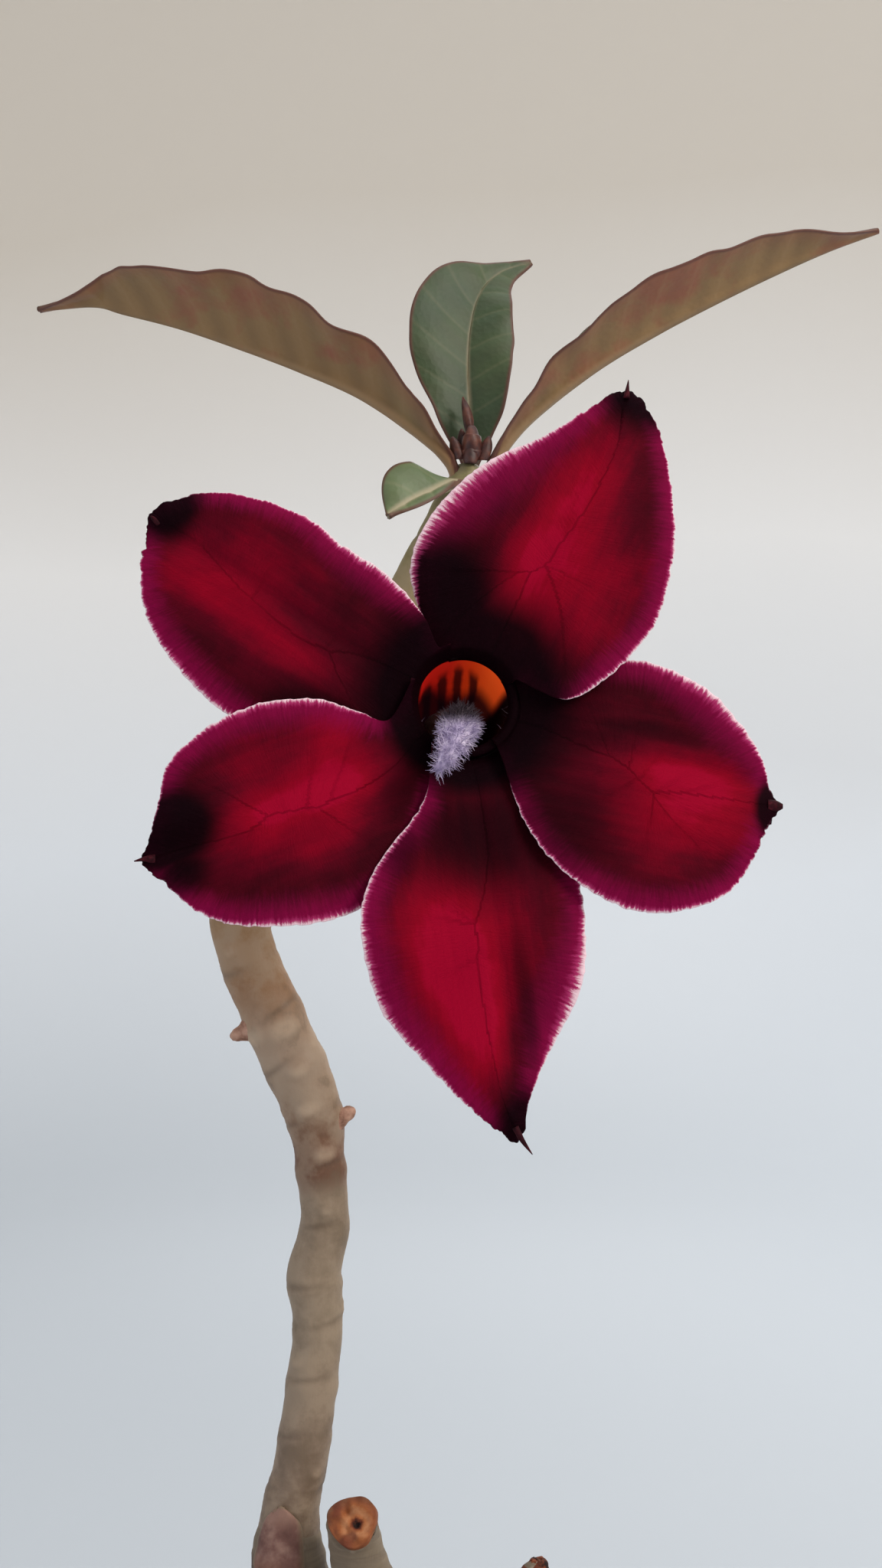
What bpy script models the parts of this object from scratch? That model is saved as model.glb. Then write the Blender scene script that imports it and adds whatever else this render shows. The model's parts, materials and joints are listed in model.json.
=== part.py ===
"""A grafted desert rose in a clay pot, with one open flower.

Metres, +Z up. The origin is the centre of the pot's flat base, and the flower faces -Y.
Every list of points below is in millimetres.
"""

import math

import bmesh
import bpy
from mathutils import Matrix, Vector

# Driving dimensions, in millimetres
POT_HEIGHT = 92.0
POT_BASE_R = 38.0
POT_BODY_R = 51.5
POT_RIM_R = 57.5
POT_COLLAR_Z = 71.0
POT_WALL = 5.5
POT_FLOOR = 6.0
DRAIN_R = 4.5
DRAIN_CIRCLE_R = 19.0
DRAIN_COUNT = 3
SOIL_TOP = 79.0
GAP = 0.32

PETAL_THICK = 0.8
PETAL_PITCH = 1.5 / 72.0  # rise towards the viewer per degree of clockwise turn
PETAL_BASE_R = 5.45
THROAT_R = 4.9
THROAT_WALL = 0.7
TUBE_DEPTH = 27.0
THROAT_UP = 1.5  # the throat's axis passes above the middle of the five petals

LEAF_THICK = 0.8

# The flower's own frame: its mouth's centre, and its right, up and outward directions
FLOWER = Vector((5.6, -42.0, 237.9))
YAW, PITCH = math.radians(6.0), math.radians(13.0)
OUTWARD = Vector((math.sin(YAW) * math.cos(PITCH), -math.cos(YAW) * math.cos(PITCH), math.sin(PITCH)))
RIGHT = Vector((math.cos(YAW), math.sin(YAW), 0.0))
UP = OUTWARD.cross(RIGHT)

# Each petal: the angle of its midrib, then its two edges as (along, across) from the base to the tip.
# The first edge is the one its neighbour covers, and the second lies over the next petal.
PETALS = {
    "petal_1": (
        64,
        ((6.4, -6.3), (9.5, -9.8), (13.0, -11.9), (18.6, -11.9), (25.2, -9.5), (31.2, -5.0), (36.0, -2.2),
         (38.5, 0.0), (40.5, -0.5)),
        ((6.2, 7.8), (10.0, 10.7), (14.7, 12.3), (18.8, 12.7), (25.7, 11.2), (32.1, 8.2), (36.4, 5.2),
         (38.9, 1.9), (40.5, 0.0)),
    ),
    "petal_2": (
        -12,
        ((6.5, -6.2), (9.5, -8.3), (13.0, -9.4), (17.6, -9.8), (23.0, -8.1), (27.2, -4.9), (29.6, -1.8),
         (30.8, 0.8), (32.2, 1.5)),
        ((6.3, 7.0), (9.2, 11.0), (13.7, 13.9), (19.0, 15.3), (24.2, 14.1), (28.3, 11.2), (30.1, 7.2),
         (31.0, 3.6), (32.2, 2.3)),
    ),
    "petal_3": (
        -84,
        ((6.5, -5.8), (10.0, -7.6), (14.0, -8.7), (20.5, -8.9), (27.0, -7.5), (33.3, -3.3), (37.2, -1.1),
         (39.6, -0.5), (42.0, -1.0)),
        ((6.2, 4.6), (9.0, 6.4), (14.1, 11.0), (19.3, 12.8), (26.8, 11.8), (32.9, 7.9), (37.3, 4.3),
         (39.8, 1.5), (42.0, -0.5)),
    ),
    "petal_4": (
        -157,
        ((6.4, -6.0), (9.0, -9.0), (12.0, -11.4), (16.9, -12.7), (22.6, -12.1), (28.3, -9.6), (31.6, -6.2),
         (33.4, -2.0), (34.6, -0.6)),
        ((6.9, 3.2), (9.5, 5.1), (13.0, 7.7), (18.6, 9.3), (24.0, 8.9), (28.4, 7.1), (31.0, 3.4),
         (33.3, 0.4), (34.6, -0.1)),
    ),
    "petal_5": (
        147,
        ((6.0, -6.6), (9.0, -9.2), (14.0, -11.2), (20.0, -12.0), (25.6, -11.1), (30.9, -8.7), (34.5, -5.0),
         (36.3, -1.2), (37.1, 0.6)),
        ((6.4, 5.0), (9.4, 6.8), (14.2, 8.2), (19.5, 8.2), (24.6, 8.7), (30.0, 7.5), (34.0, 5.6),
         (36.3, 3.0), (37.1, 1.4)),
    ),
}

# Each leaf: midrib points, the half width near the viewer and the far one at each, and the way the fold opens
LEAVES = {
    "leaf_left": (
        ((4.7, -0.8, 270.0), (1.6, -2.2, 272.8), (-5.6, -3.6, 277.5), (-13.0, -4.4, 280.6), (-20.0, -4.8, 283.1),
         (-27.0, -4.8, 285.4), (-33.6, -4.4, 287.1), (-37.2, -4.1, 288.0), (-43.8, -3.4, 287.6)),
        (0.9, 2.2, 6.4, 8.7, 9.3, 8.9, 7.4, 3.2, 0.4),
        (0.9, 2.2, 5.8, 8.4, 9.0, 8.6, 7.0, 3.0, 0.4),
        (0.1, -0.05, 1.0), 52, 46,
    ),
    "leaf_right": (
        ((8.8, -0.2, 269.8), (12.9, -1.6, 274.8), (20.5, -3.6, 280.5), (27.9, -4.2, 284.8), (35.4, -4.4, 288.6),
         (42.8, -4.2, 292.1), (48.6, -4.0, 294.6), (54.2, -3.8, 296.6)),
        (0.7, 2.2, 5.2, 7.5, 7.0, 5.2, 2.9, 0.4),
        (0.7, 3.2, 6.4, 7.8, 7.2, 5.2, 3.0, 0.4),
        (-0.3, -0.05, 1.0), 52, 50,
    ),
    "leaf_upright": (
        ((6.8, 3.2, 270.0), (6.6, 4.6, 277.0), (6.5, 6.6, 285.0), (7.6, 9.2, 291.4), (10.2, 11.6, 295.2),
         (14.4, 13.6, 297.2)),
        (1.0, 4.2, 5.7, 4.6, 2.6, 0.4),
        (1.0, 4.8, 7.6, 6.6, 2.0, 0.4),
        (0.1, -1.0, 0.35), 20, 20,
    ),
    "leaf_small": (
        ((4.9, -3.3, 267.2), (2.2, -5.4, 265.6), (-0.6, -7.6, 264.0), (-3.0, -9.4, 262.4)),
        (0.6, 1.6, 1.8, 0.4),
        (0.8, 3.6, 3.6, 0.4),
        (0.1, -0.3, 1.0), -20, 58,
    ),
    "young_leaf": (
        ((6.7, 0.8, 274.4), (6.4, 1.2, 276.2), (5.8, 1.7, 278.0)),
        (0.4, 0.7, 0.35),
        (0.4, 0.7, 0.35),
        (0.0, -1.0, 0.2), 30, 30,
    ),
}

# Stem axis from the graft to the tip, with the radius at each point
STEM = (
    ((-15.0, 0.0, 140.0), 3.9), ((-14.8, 0.0, 143.5), 3.6), ((-14.5, 0.0, 147.1), 3.3), ((-13.5, 0.0, 151.0), 3.1),
    ((-12.3, 0.0, 159.4), 3.05), ((-11.4, 0.0, 167.6), 2.9), ((-11.8, 0.0, 174.0), 3.1), ((-10.6, 0.0, 179.7), 2.9),
    ((-11.1, 0.0, 186.7), 2.9), ((-12.0, 0.0, 193.5), 3.1), ((-14.8, 0.0, 200.2), 3.2), ((-17.2, 0.0, 205.8), 3.2),
    ((-19.6, 0.2, 211.2), 3.1), ((-20.6, 0.5, 217.0), 3.1), ((-18.9, 0.8, 224.6), 3.1), ((-14.6, 0.9, 232.4), 3.1),
    ((-9.4, 0.8, 239.8), 3.1), ((-4.5, 0.5, 246.8), 3.05), ((-0.6, 0.2, 253.8), 3.0), ((2.9, 0.0, 260.4), 2.8),
    ((5.2, 0.0, 265.2), 2.6), ((6.1, 0.0, 267.4), 2.2), ((6.4, 0.0, 268.5), 1.3),
)
STEM_KNOBS = (((-8.2, -0.4, 192.8), 1.5), ((-20.2, -0.4, 202.5), 1.6))

# Swollen base of the rootstock: (height, radius), and how deep its root lobes are at each height
CAUDEX = (
    (22.0, 3.0, 0.0), (34.0, 7.0, 0.04), (50.0, 13.0, 0.08), (66.0, 20.0, 0.12), (78.0, 25.5, 0.15),
    (86.0, 27.5, 0.13), (95.0, 27.0, 0.09), (104.0, 23.5, 0.06), (112.0, 18.0, 0.05), (119.0, 13.2, 0.05),
    (125.0, 10.6, 0.06), (130.0, 8.0, 0.05),
)
ARMS = (
    (((-3.0, 0.0, 118.0), 8.0), ((-9.0, 0.3, 128.0), 6.0), ((-13.6, 0.2, 134.5), 4.9), ((-15.0, 0.0, 139.5), 4.4)),
    (((-1.0, -1.0, 122.0), 7.0), ((-3.6, -3.0, 132.0), 4.6), ((-6.0, -5.2, 140.6), 3.4), ((-7.2, -7.4, 145.4), 3.0),
     ((-7.7, -9.8, 147.5), 2.85)),
    (((2.0, 0.0, 118.0), 8.0), ((8.0, 0.8, 128.0), 5.0), ((12.6, 0.4, 135.0), 2.6), ((14.9, 0.0, 140.0), 1.5)),
)
GRAFT_FLAP = (((-17.4, -3.0, 135.0), 2.6), ((-17.8, -4.3, 140.0), 1.8), ((-16.9, -4.5, 144.0), 1.1),
              ((-15.9, -4.2, 147.0), 0.45))


def mm(*numbers):
    return Vector(numbers) * 0.001


def clear_scene():
    for obj in list(bpy.data.objects):
        bpy.data.objects.remove(obj, do_unlink=True)


def collection(name, hidden=False):
    made = bpy.data.collections.new(name)
    bpy.context.scene.collection.children.link(made)
    made.hide_render = hidden
    return made


def material(name, color, roughness):
    made = bpy.data.materials.new(name)
    made.use_nodes = True
    shader = made.node_tree.nodes["Principled BSDF"]
    shader.inputs["Base Color"].default_value = (*color, 1.0)
    shader.inputs["Roughness"].default_value = roughness
    return made


def add(name, data, mat, where=None):
    """A new object holding this mesh or curve, with its own copy of the material."""
    obj = bpy.data.objects.new(name, data)
    if mat:
        own = mat.copy()
        own.name = name + "_" + mat.name
        data.materials.append(own)
    (where or PART).objects.link(obj)
    return obj


def cutter(name, data):
    obj = add(name, data, None, CUTTERS)
    obj.hide_render = True
    obj.display_type = "WIRE"
    return obj


def screw(name, profile, mat, steps=48, where=None):
    """A turned body: the profile is (radius, height) pairs down its outer side, from top to bottom."""
    mesh = bpy.data.meshes.new(name)
    points = [mm(r, 0.0, z) for r, z in profile]
    mesh.from_pydata(points, [(i, i + 1) for i in range(len(points) - 1)], [])
    obj = add(name, mesh, mat, where)
    turn = obj.modifiers.new("Turn", "SCREW")
    turn.axis = "Z"
    turn.steps = turn.render_steps = steps
    turn.use_merge_vertices = True
    turn.merge_threshold = 0.00005
    turn.use_smooth_shade = True
    return obj


def smooth_path(points, per_span):
    """Points on a Catmull-Rom curve through these vectors, of any size."""
    ends = [points[0] * 2 - points[1]] + list(points) + [points[-1] * 2 - points[-2]]
    found = []
    for i in range(len(points) - 1):
        a, b, c, d = ends[i:i + 4]
        for step in range(per_span):
            t = step / per_span
            found.append(((b * 2) + (c - a) * t + (a * 2 - b * 5 + c * 4 - d) * t * t
                          + (b * 3 - a - c * 3 + d) * t ** 3) * 0.5)
    return found + [points[-1]]


def tube_curve(name, path, sides=2, per_span=1):
    """A capped round tube through (point, radius) pairs."""
    data = bpy.data.curves.new(name, "CURVE")
    data.dimensions = "3D"
    data.bevel_depth = 0.001
    data.bevel_resolution = sides
    data.use_fill_caps = True
    data.render_resolution_u = 0
    through = smooth_path([Vector((*p, r)) for p, r in path], per_span)
    spline = data.splines.new("POLY")
    spline.points.add(len(through) - 1)
    for point, (x, y, z, r) in zip(spline.points, through):
        point.co = (*mm(x, y, z), 1.0)
        point.radius = max(r, 0.1)
    spline.use_smooth = True
    return data


def tube(name, path, mat, sides=2, per_span=1):
    return add(name, tube_curve(name, path, sides, per_span), mat)


def tube_mesh(name, path, sides=2, per_span=1):
    """The same tube as one closed mesh, ready for a Boolean."""
    held = add(name + "_path", tube_curve(name, path, sides, per_span), None, CUTTERS)
    mesh = bpy.data.meshes.new_from_object(held.evaluated_get(bpy.context.evaluated_depsgraph_get()))
    bpy.data.objects.remove(held, do_unlink=True)
    work = bmesh.new()
    work.from_mesh(mesh)
    bmesh.ops.remove_doubles(work, verts=work.verts, dist=0.00002)
    bmesh.ops.recalc_face_normals(work, faces=work.faces)
    work.to_mesh(mesh)
    work.free()
    return mesh


def ball_mesh(name, centre, radius):
    mesh = bpy.data.meshes.new(name)
    work = bmesh.new()
    bmesh.ops.create_icosphere(work, subdivisions=2, radius=radius * 0.001, matrix=Matrix.Translation(mm(*centre)))
    work.to_mesh(mesh)
    work.free()
    return mesh


def boolean(obj, other, operation):
    cut = obj.modifiers.new(operation.title() + other.name[-12:], "BOOLEAN")
    cut.operation = operation
    cut.solver = "EXACT"
    cut.object = other
    return cut


def sheet(name, rows, mat, thickness):
    """A thin body: an open grid of points, given its thickness about its middle."""
    mesh = bpy.data.meshes.new(name)
    across = len(rows[0])
    faces = [(i * across + j, i * across + j + 1, (i + 1) * across + j + 1, (i + 1) * across + j)
             for i in range(len(rows) - 1) for j in range(across - 1)]
    mesh.from_pydata([mm(*p) for row in rows for p in row], [], faces)
    mesh.shade_smooth()
    obj = add(name, mesh, mat)
    solid = obj.modifiers.new("Thickness", "SOLIDIFY")
    solid.thickness = thickness * 0.001
    solid.offset = 0.0
    return obj


def petal_height(along, across):
    """How far a petal's middle surface stands out at this place on it."""
    r = math.hypot(along, across)
    turn = math.degrees(math.atan2(across, along))
    arch = 1.6 * math.sin(math.pi * min(max((r - 6.0) / 36.0, 0.0), 1.0))
    return arch - 0.9 * math.exp((5.0 - r) / 2.0) + PETAL_PITCH * turn


def flower_point(across_right, up, out):
    return FLOWER + RIGHT * across_right + UP * up + OUTWARD * out


def petal(name, angle, covered, over):
    """Rows from the throat to the needle tip; each row runs from the covered edge to the free one."""
    turned = math.radians(angle)
    throat = Vector((math.sin(turned), -math.cos(turned))) * THROAT_UP
    base = [throat + Vector((math.cos(math.radians(a)), math.sin(math.radians(a)))) * PETAL_BASE_R
            for a in (-36.0, 36.0)]
    left = smooth_path([base[0]] + [Vector(p) for p in covered], 2)
    right = smooth_path([base[1]] + [Vector(p) for p in over], 2)
    rows = []
    for i, (a, b) in enumerate(zip(left, right)):
        # Rows near the throat are arcs round it, and farther out they straighten.
        spread = ((a - throat).length + (b - throat).length) / 2.0 - ((a + b) / 2.0 - throat).x
        bow = spread * max(0.0, 1.0 - i / 9.0)
        row = []
        for j in range(13):
            s = j / 12.0
            flat = a.lerp(b, s) + Vector((bow * (1.0 - (2.0 * s - 1.0) ** 2), 0.0))
            if i < 5:
                # The first rows stay outside the tube's lip.
                clear = flat - throat
                flat = throat + clear * max(1.0, (PETAL_BASE_R + 0.1 * i) / clear.length)
            u, v = flat
            row.append(flower_point(u * math.cos(turned) + v * math.sin(turned),
                                    u * math.sin(turned) - v * math.cos(turned), petal_height(u, v)))
        rows.append(row)
    return sheet(name, rows, PETAL_RED, PETAL_THICK)


def leaf(name, midrib, near, far, opens, near_fold, far_fold):
    """A blade folded along its midrib, and flat where it narrows.

    The folds are degrees up from the line across the blade.
    """
    stations = [Vector((*p, a, b)) for p, a, b in zip(midrib, near, far)]
    path = smooth_path(stations, 3)
    places = [Vector(s[:3]) for s in path]
    rows = []
    before = Vector((0.0, -1.0, 0.0)) if near_fold != far_fold else Vector((1.0, 0.0, 0.0))
    for i, station in enumerate(path):
        ahead = (places[min(i + 1, len(path) - 1)] - places[max(i - 1, 0)]).normalized()
        side = ahead.cross(Vector(opens)).normalized()
        if side.dot(before) < 0.0:
            side = -side
        before = side
        rise = side.cross(ahead).normalized()
        if rise.dot(Vector(opens)) < 0.0:
            rise = -rise
        row = []
        for j in range(-4, 5):
            s = abs(j) / 4.0
            width = station[3] if j > 0 else station[4]
            fold = math.radians(near_fold if j > 0 else far_fold)
            outward = side if j > 0 else -side
            bend = fold * (1.0 - 0.25 * s) * min(1.0, width / 4.5)
            row.append(places[i] + (outward * math.cos(bend) + rise * math.sin(bend)) * (width * s))
        rows.append(row)
    return sheet(name, rows, LEAF_GREEN, LEAF_THICK)


def lobed(profile, lobes=7, around=40, grow=0.0):
    """A closed body with root lobes, from (height, radius, lobe depth) rings."""
    mesh = bpy.data.meshes.new("caudex")
    work = bmesh.new()
    rings = []
    for z, r, depth in profile:
        ring = []
        for k in range(around):
            a = 2.0 * math.pi * k / around
            wave = math.sin(lobes * a + 0.06 * z) * 0.6 + math.sin(3.0 * a + 1.3 - 0.03 * z) * 0.4
            ring.append(work.verts.new(mm((r * (1.0 + depth * wave) + grow) * math.cos(a),
                                          (r * (1.0 + depth * wave) + grow) * math.sin(a), z)))
        rings.append(ring)
    for low, high in zip(rings, rings[1:]):
        for k in range(around):
            work.faces.new((low[k], low[(k + 1) % around], high[(k + 1) % around], high[k]))
    work.faces.new(list(reversed(rings[0])))
    work.faces.new(rings[-1])
    work.to_mesh(mesh)
    work.free()
    return mesh


def pot():
    """Turned clay pot with a collar; its floor has a ring of drain holes round a solid centre."""
    inside_r = POT_RIM_R - POT_WALL
    profile = [
        (inside_r + 0.8, POT_HEIGHT), (POT_RIM_R - 1.2, POT_HEIGHT), (POT_RIM_R, POT_HEIGHT - 1.2),
        (POT_RIM_R - 1.6, POT_COLLAR_Z + 1.0), (POT_RIM_R - 2.4, POT_COLLAR_Z), (POT_BODY_R, POT_COLLAR_Z),
        (POT_BASE_R + 1.0, 1.5), (POT_BASE_R, 0.0), (0.0, 0.0),
    ]
    inner = [(0.0, POT_FLOOR), (POT_BASE_R - POT_WALL + 0.8, POT_FLOOR), (POT_BASE_R - POT_WALL + 1.6, POT_FLOOR + 1.2),
             (inside_r, POT_HEIGHT - 1.0), (inside_r + 0.8, POT_HEIGHT)]
    made = screw("pot", profile + inner, CLAY, steps=64)
    for i in range(DRAIN_COUNT):
        a = math.radians(90.0 + 360.0 * i / DRAIN_COUNT)
        hole = bpy.data.meshes.new(f"drain_{i}")
        work = bmesh.new()
        bmesh.ops.create_cone(work, cap_ends=True, segments=20, radius1=DRAIN_R * 0.001, radius2=DRAIN_R * 0.001,
                              depth=0.02)
        work.to_mesh(hole)
        work.free()
        tool = cutter(f"drain_{i}", hole)
        tool.location = mm(DRAIN_CIRCLE_R * math.cos(a), DRAIN_CIRCLE_R * math.sin(a), 2.0)
        boolean(made, tool, "DIFFERENCE")
    return made


def soil():
    """The pot's fill, a little mounded, with a clear seat for the caudex."""
    def wall(z):
        share = (z - POT_FLOOR - 1.2) / (POT_HEIGHT - 1.0 - POT_FLOOR - 1.2)
        low, high = POT_BASE_R - POT_WALL + 1.6, POT_RIM_R - POT_WALL
        return low + (high - low) * share - GAP
    floor = POT_FLOOR + 1.6
    made = screw("soil", [
        (0.0, SOIL_TOP + 1.6), (24.0, SOIL_TOP + 1.4), (40.0, SOIL_TOP + 0.4), (wall(SOIL_TOP - 1.0) - 1.5, SOIL_TOP - 0.2),
        (wall(SOIL_TOP - 1.0), SOIL_TOP - 1.0), (wall(floor), floor), (wall(floor) - 1.5, POT_FLOOR + GAP),
        (0.0, POT_FLOOR + GAP),
    ], SOIL_BROWN, steps=64)
    seat = cutter("caudex_seat", lobed(((CAUDEX[0][0] - GAP, 3.0, 0.0),) + CAUDEX[1:], grow=GAP + 0.1))
    boolean(made, seat, "DIFFERENCE")
    return made


def rootstock():
    """The swollen base with its three arms and the pointed flap that holds the graft."""
    made = add("rootstock", lobed(CAUDEX), BARK)
    made.data.shade_smooth()
    for i, path in enumerate(ARMS + (GRAFT_FLAP,)):
        boolean(made, cutter(f"arm_{i}", tube_mesh(f"arm_{i}", path, 3, 3)), "UNION")
    seat = tube_mesh("graft_seat", [(p, r + GAP) for p, r in (((-15.0, 0.0, 139.7), 3.9),) + STEM[1:5]], 3, 1)
    boolean(made, cutter("graft_seat", seat), "DIFFERENCE")
    return made


def scion():
    made = add("scion_stem", tube_mesh("scion_stem", STEM, 3, 2), BARK)
    made.data.shade_smooth()
    for i, (centre, radius) in enumerate(STEM_KNOBS):
        boolean(made, cutter(f"knob_{i}", ball_mesh(f"knob_{i}", centre, radius)), "UNION")
    return made


def along_outward(obj, depth):
    """Puts a body turned about its own Z into the flower's frame, its origin this far behind the mouth."""
    turn = Matrix((RIGHT, UP, OUTWARD)).transposed().to_4x4()
    obj.matrix_world = Matrix.Translation(flower_point(0.0, THROAT_UP, -depth) * 0.001) @ turn
    return obj


def corolla_tube():
    outer = [(THROAT_R - 0.3, -0.5), (THROAT_R, -0.9), (THROAT_R + 0.1, -4.0), (THROAT_R - 0.3, -12.0), (3.5, -18.0),
             (2.7, -22.0), (2.3, -TUBE_DEPTH), (0.0, -TUBE_DEPTH)]
    inner = [(0.0, 1.2 - TUBE_DEPTH), (2.3 - THROAT_WALL, 1.2 - TUBE_DEPTH), (2.7 - THROAT_WALL, -22.0),
             (3.5 - THROAT_WALL, -18.0), (THROAT_R - 0.3 - THROAT_WALL, -12.0), (THROAT_R + 0.1 - THROAT_WALL, -4.0),
             (THROAT_R - THROAT_WALL, -0.9), (THROAT_R - 0.3, -0.5)]
    return along_outward(screw("corolla_tube", outer + inner, PETAL_RED, steps=32), 0.0)


def flower_centre():
    cone = [(0.0, -9.6), (1.0, -9.7), (1.4, -10.2), (3.0, -15.0), (2.6, -15.4), (0.0, -15.4)]
    along_outward(screw("anther_cone", cone, ANTHER_PALE, steps=24), 0.0)
    tail = (((0.0, THROAT_UP, -9.2), 0.8), ((-0.2, 1.7, -5.5), 1.2), ((-0.4, 1.4, -2.0), 1.5), ((-0.7, 0.2, 1.0), 1.5),
            ((-1.3, -1.6, 3.4), 1.4), ((-2.1, -3.6, 4.9), 1.1), ((-3.1, -5.6, 5.6), 0.5))
    tube("anther_tail", [(flower_point(*p), r) for p, r in tail], ANTHER_PALE, 2, 3)


def sepals_and_pedicel():
    """Five narrow sepals round the tube's foot, and the curved stalk back to the stem."""
    for k in range(5):
        a = math.radians(72.0 * k + 20.0)
        rows = []
        for depth, half, away in ((27.2, 0.9, 0.0), (25.5, 1.15, 0.0), (23.5, 1.1, 0.15), (21.6, 0.8, 0.5),
                                  (20.0, 0.35, 1.0)):
            r = 2.3 + (27.0 - depth) * 0.085 + 0.85 + away
            rows.append([flower_point(r * math.cos(a + s * half / r), r * math.sin(a + s * half / r) + THROAT_UP, -depth)
                         for s in (-1.0, 0.0, 1.0)])
        sheet(f"sepal_{k + 1}", rows, SEPAL_GREEN, 0.6)
    foot = flower_point(0.0, THROAT_UP, -TUBE_DEPTH)
    stalk = [((-7.6, -2.9, 237.6), 1.3), ((-5.6, -5.0, 234.6), 1.1), ((-2.6, -8.2, 231.4), 1.1),
             ((0.6, -11.2, 230.2), 1.15), (foot - OUTWARD * 2.2, 1.3), (foot - OUTWARD * 0.4, 1.9)]
    tube("pedicel", stalk, SEPAL_GREEN, 2, 3)


def tuft():
    for name, shape in LEAVES.items():
        leaf(name, *shape)
    bud = tube("terminal_bud", (((6.7, -1.0, 269.9), 0.8), ((6.8, -1.3, 271.0), 1.25), ((6.8, -1.5, 272.4), 1.25),
                                ((6.8, -1.4, 273.6), 0.8), ((6.7, -1.3, 274.4), 0.2)), BUD_BROWN, 2, 2)
    return bud


clear_scene()
PART = collection("potted_desert_rose")
CUTTERS = collection("cutters", hidden=True)
CLAY = material("clay", (0.42, 0.16, 0.08), 0.85)
SOIL_BROWN = material("soil", (0.05, 0.03, 0.02), 0.95)
BARK = material("bark", (0.24, 0.19, 0.12), 0.75)
PETAL_RED = material("petal", (0.26, 0.004, 0.02), 0.6)
LEAF_GREEN = material("leaf", (0.10, 0.16, 0.05), 0.45)
SEPAL_GREEN = material("sepal", (0.20, 0.16, 0.07), 0.55)
BUD_BROWN = material("bud", (0.10, 0.03, 0.02), 0.6)
ANTHER_PALE = material("anther", (0.66, 0.58, 0.66), 0.8)

pot()
soil()
rootstock()
scion()
tuft()
for petal_name, petal_shape in PETALS.items():
    petal(petal_name, *petal_shape)
corolla_tube()
flower_centre()
sepals_and_pedicel()
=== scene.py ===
"""A grafted desert rose in a clay pot, with one open flower. Metres, +Z up, the flower faces -Y.

The lists of points are in millimetres and are turned to metres where a mesh is made.
"""
import json
import math

import bmesh
import bpy
import numpy as np
from mathutils import Matrix, Vector, noise

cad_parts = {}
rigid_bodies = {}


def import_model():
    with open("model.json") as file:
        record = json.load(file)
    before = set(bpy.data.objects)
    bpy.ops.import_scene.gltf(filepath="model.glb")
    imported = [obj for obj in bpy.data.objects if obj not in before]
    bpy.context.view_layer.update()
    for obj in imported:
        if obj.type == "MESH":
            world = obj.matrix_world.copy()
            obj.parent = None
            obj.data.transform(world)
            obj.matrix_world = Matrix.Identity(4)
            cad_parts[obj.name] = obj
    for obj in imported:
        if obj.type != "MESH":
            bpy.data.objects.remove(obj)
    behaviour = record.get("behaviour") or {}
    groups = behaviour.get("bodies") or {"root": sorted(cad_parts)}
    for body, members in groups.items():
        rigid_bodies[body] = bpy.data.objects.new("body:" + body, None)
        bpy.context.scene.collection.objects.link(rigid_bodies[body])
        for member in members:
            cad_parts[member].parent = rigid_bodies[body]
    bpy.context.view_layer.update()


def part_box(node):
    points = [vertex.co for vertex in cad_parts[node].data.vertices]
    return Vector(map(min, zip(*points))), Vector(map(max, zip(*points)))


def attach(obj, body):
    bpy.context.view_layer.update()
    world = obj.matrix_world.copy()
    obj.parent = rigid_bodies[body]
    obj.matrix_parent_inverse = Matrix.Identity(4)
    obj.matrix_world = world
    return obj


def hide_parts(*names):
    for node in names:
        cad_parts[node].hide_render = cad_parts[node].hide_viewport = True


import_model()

# ---------------------------------------------------------------- The pot
# A thrown clay pot, fired once and left unglazed: porous, dull, with fine turning marks, a pale bloom of
# lime where water dries, and slightly worn edges. Its floor has three drain holes.


def linear(code):
    """An sRGB hex colour as the linear colour that a shader takes."""
    parts = [int(code[i:i + 2], 16) / 255.0 for i in (1, 3, 5)]
    return [p / 12.92 if p <= 0.04045 else ((p + 0.055) / 1.055) ** 2.4 for p in parts] + [1.0]


def add(tree, kind, values=(), out=0, stops=(), **settings):
    """One node: its settings, each input as a value, colour code or link, and a ramp's stops. Returns an output."""
    made = tree.nodes.new(kind)
    for key, value in settings.items():
        setattr(made, key, value)
    for key, value in dict(values).items():
        if isinstance(value, bpy.types.NodeSocket):
            tree.links.new(value, made.inputs[key])
        else:
            made.inputs[key].default_value = linear(value) if str(value)[0] == "#" else value
    while stops and len(made.color_ramp.elements) < len(stops):
        made.color_ramp.elements.new(0.5)
    for element, (place, colour) in zip(made.color_ramp.elements if stops else (), stops):
        element.position, element.color = place, linear(colour)
    return made if out is None else made.outputs[out]


def blank(name):
    """A new material, and its empty node tree."""
    made = bpy.data.materials.new(name)
    made.use_nodes = True
    made.node_tree.nodes.clear()
    return made, made.node_tree


def stand_in(obj, slot, *nodes):
    """Puts a finished piece on the plant's one body, in place of its CAD nodes."""
    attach(obj, "root")
    if nodes:
        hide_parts(*nodes)
    return obj


def shown(name, mesh, material):
    """Gives a mesh its finish and puts it in the scene as an object at the origin."""
    mesh.materials.clear()
    mesh.materials.append(material)
    obj = bpy.data.objects.new(name, mesh)
    bpy.context.scene.collection.objects.link(obj)
    return obj


def plain_mesh(obj):
    """The object's evaluated mesh, with its modifiers used up; the object is removed."""
    bpy.context.view_layer.update()
    mesh = bpy.data.meshes.new_from_object(obj.evaluated_get(bpy.context.evaluated_depsgraph_get()))
    bpy.data.objects.remove(obj, do_unlink=True)
    return mesh


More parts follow.
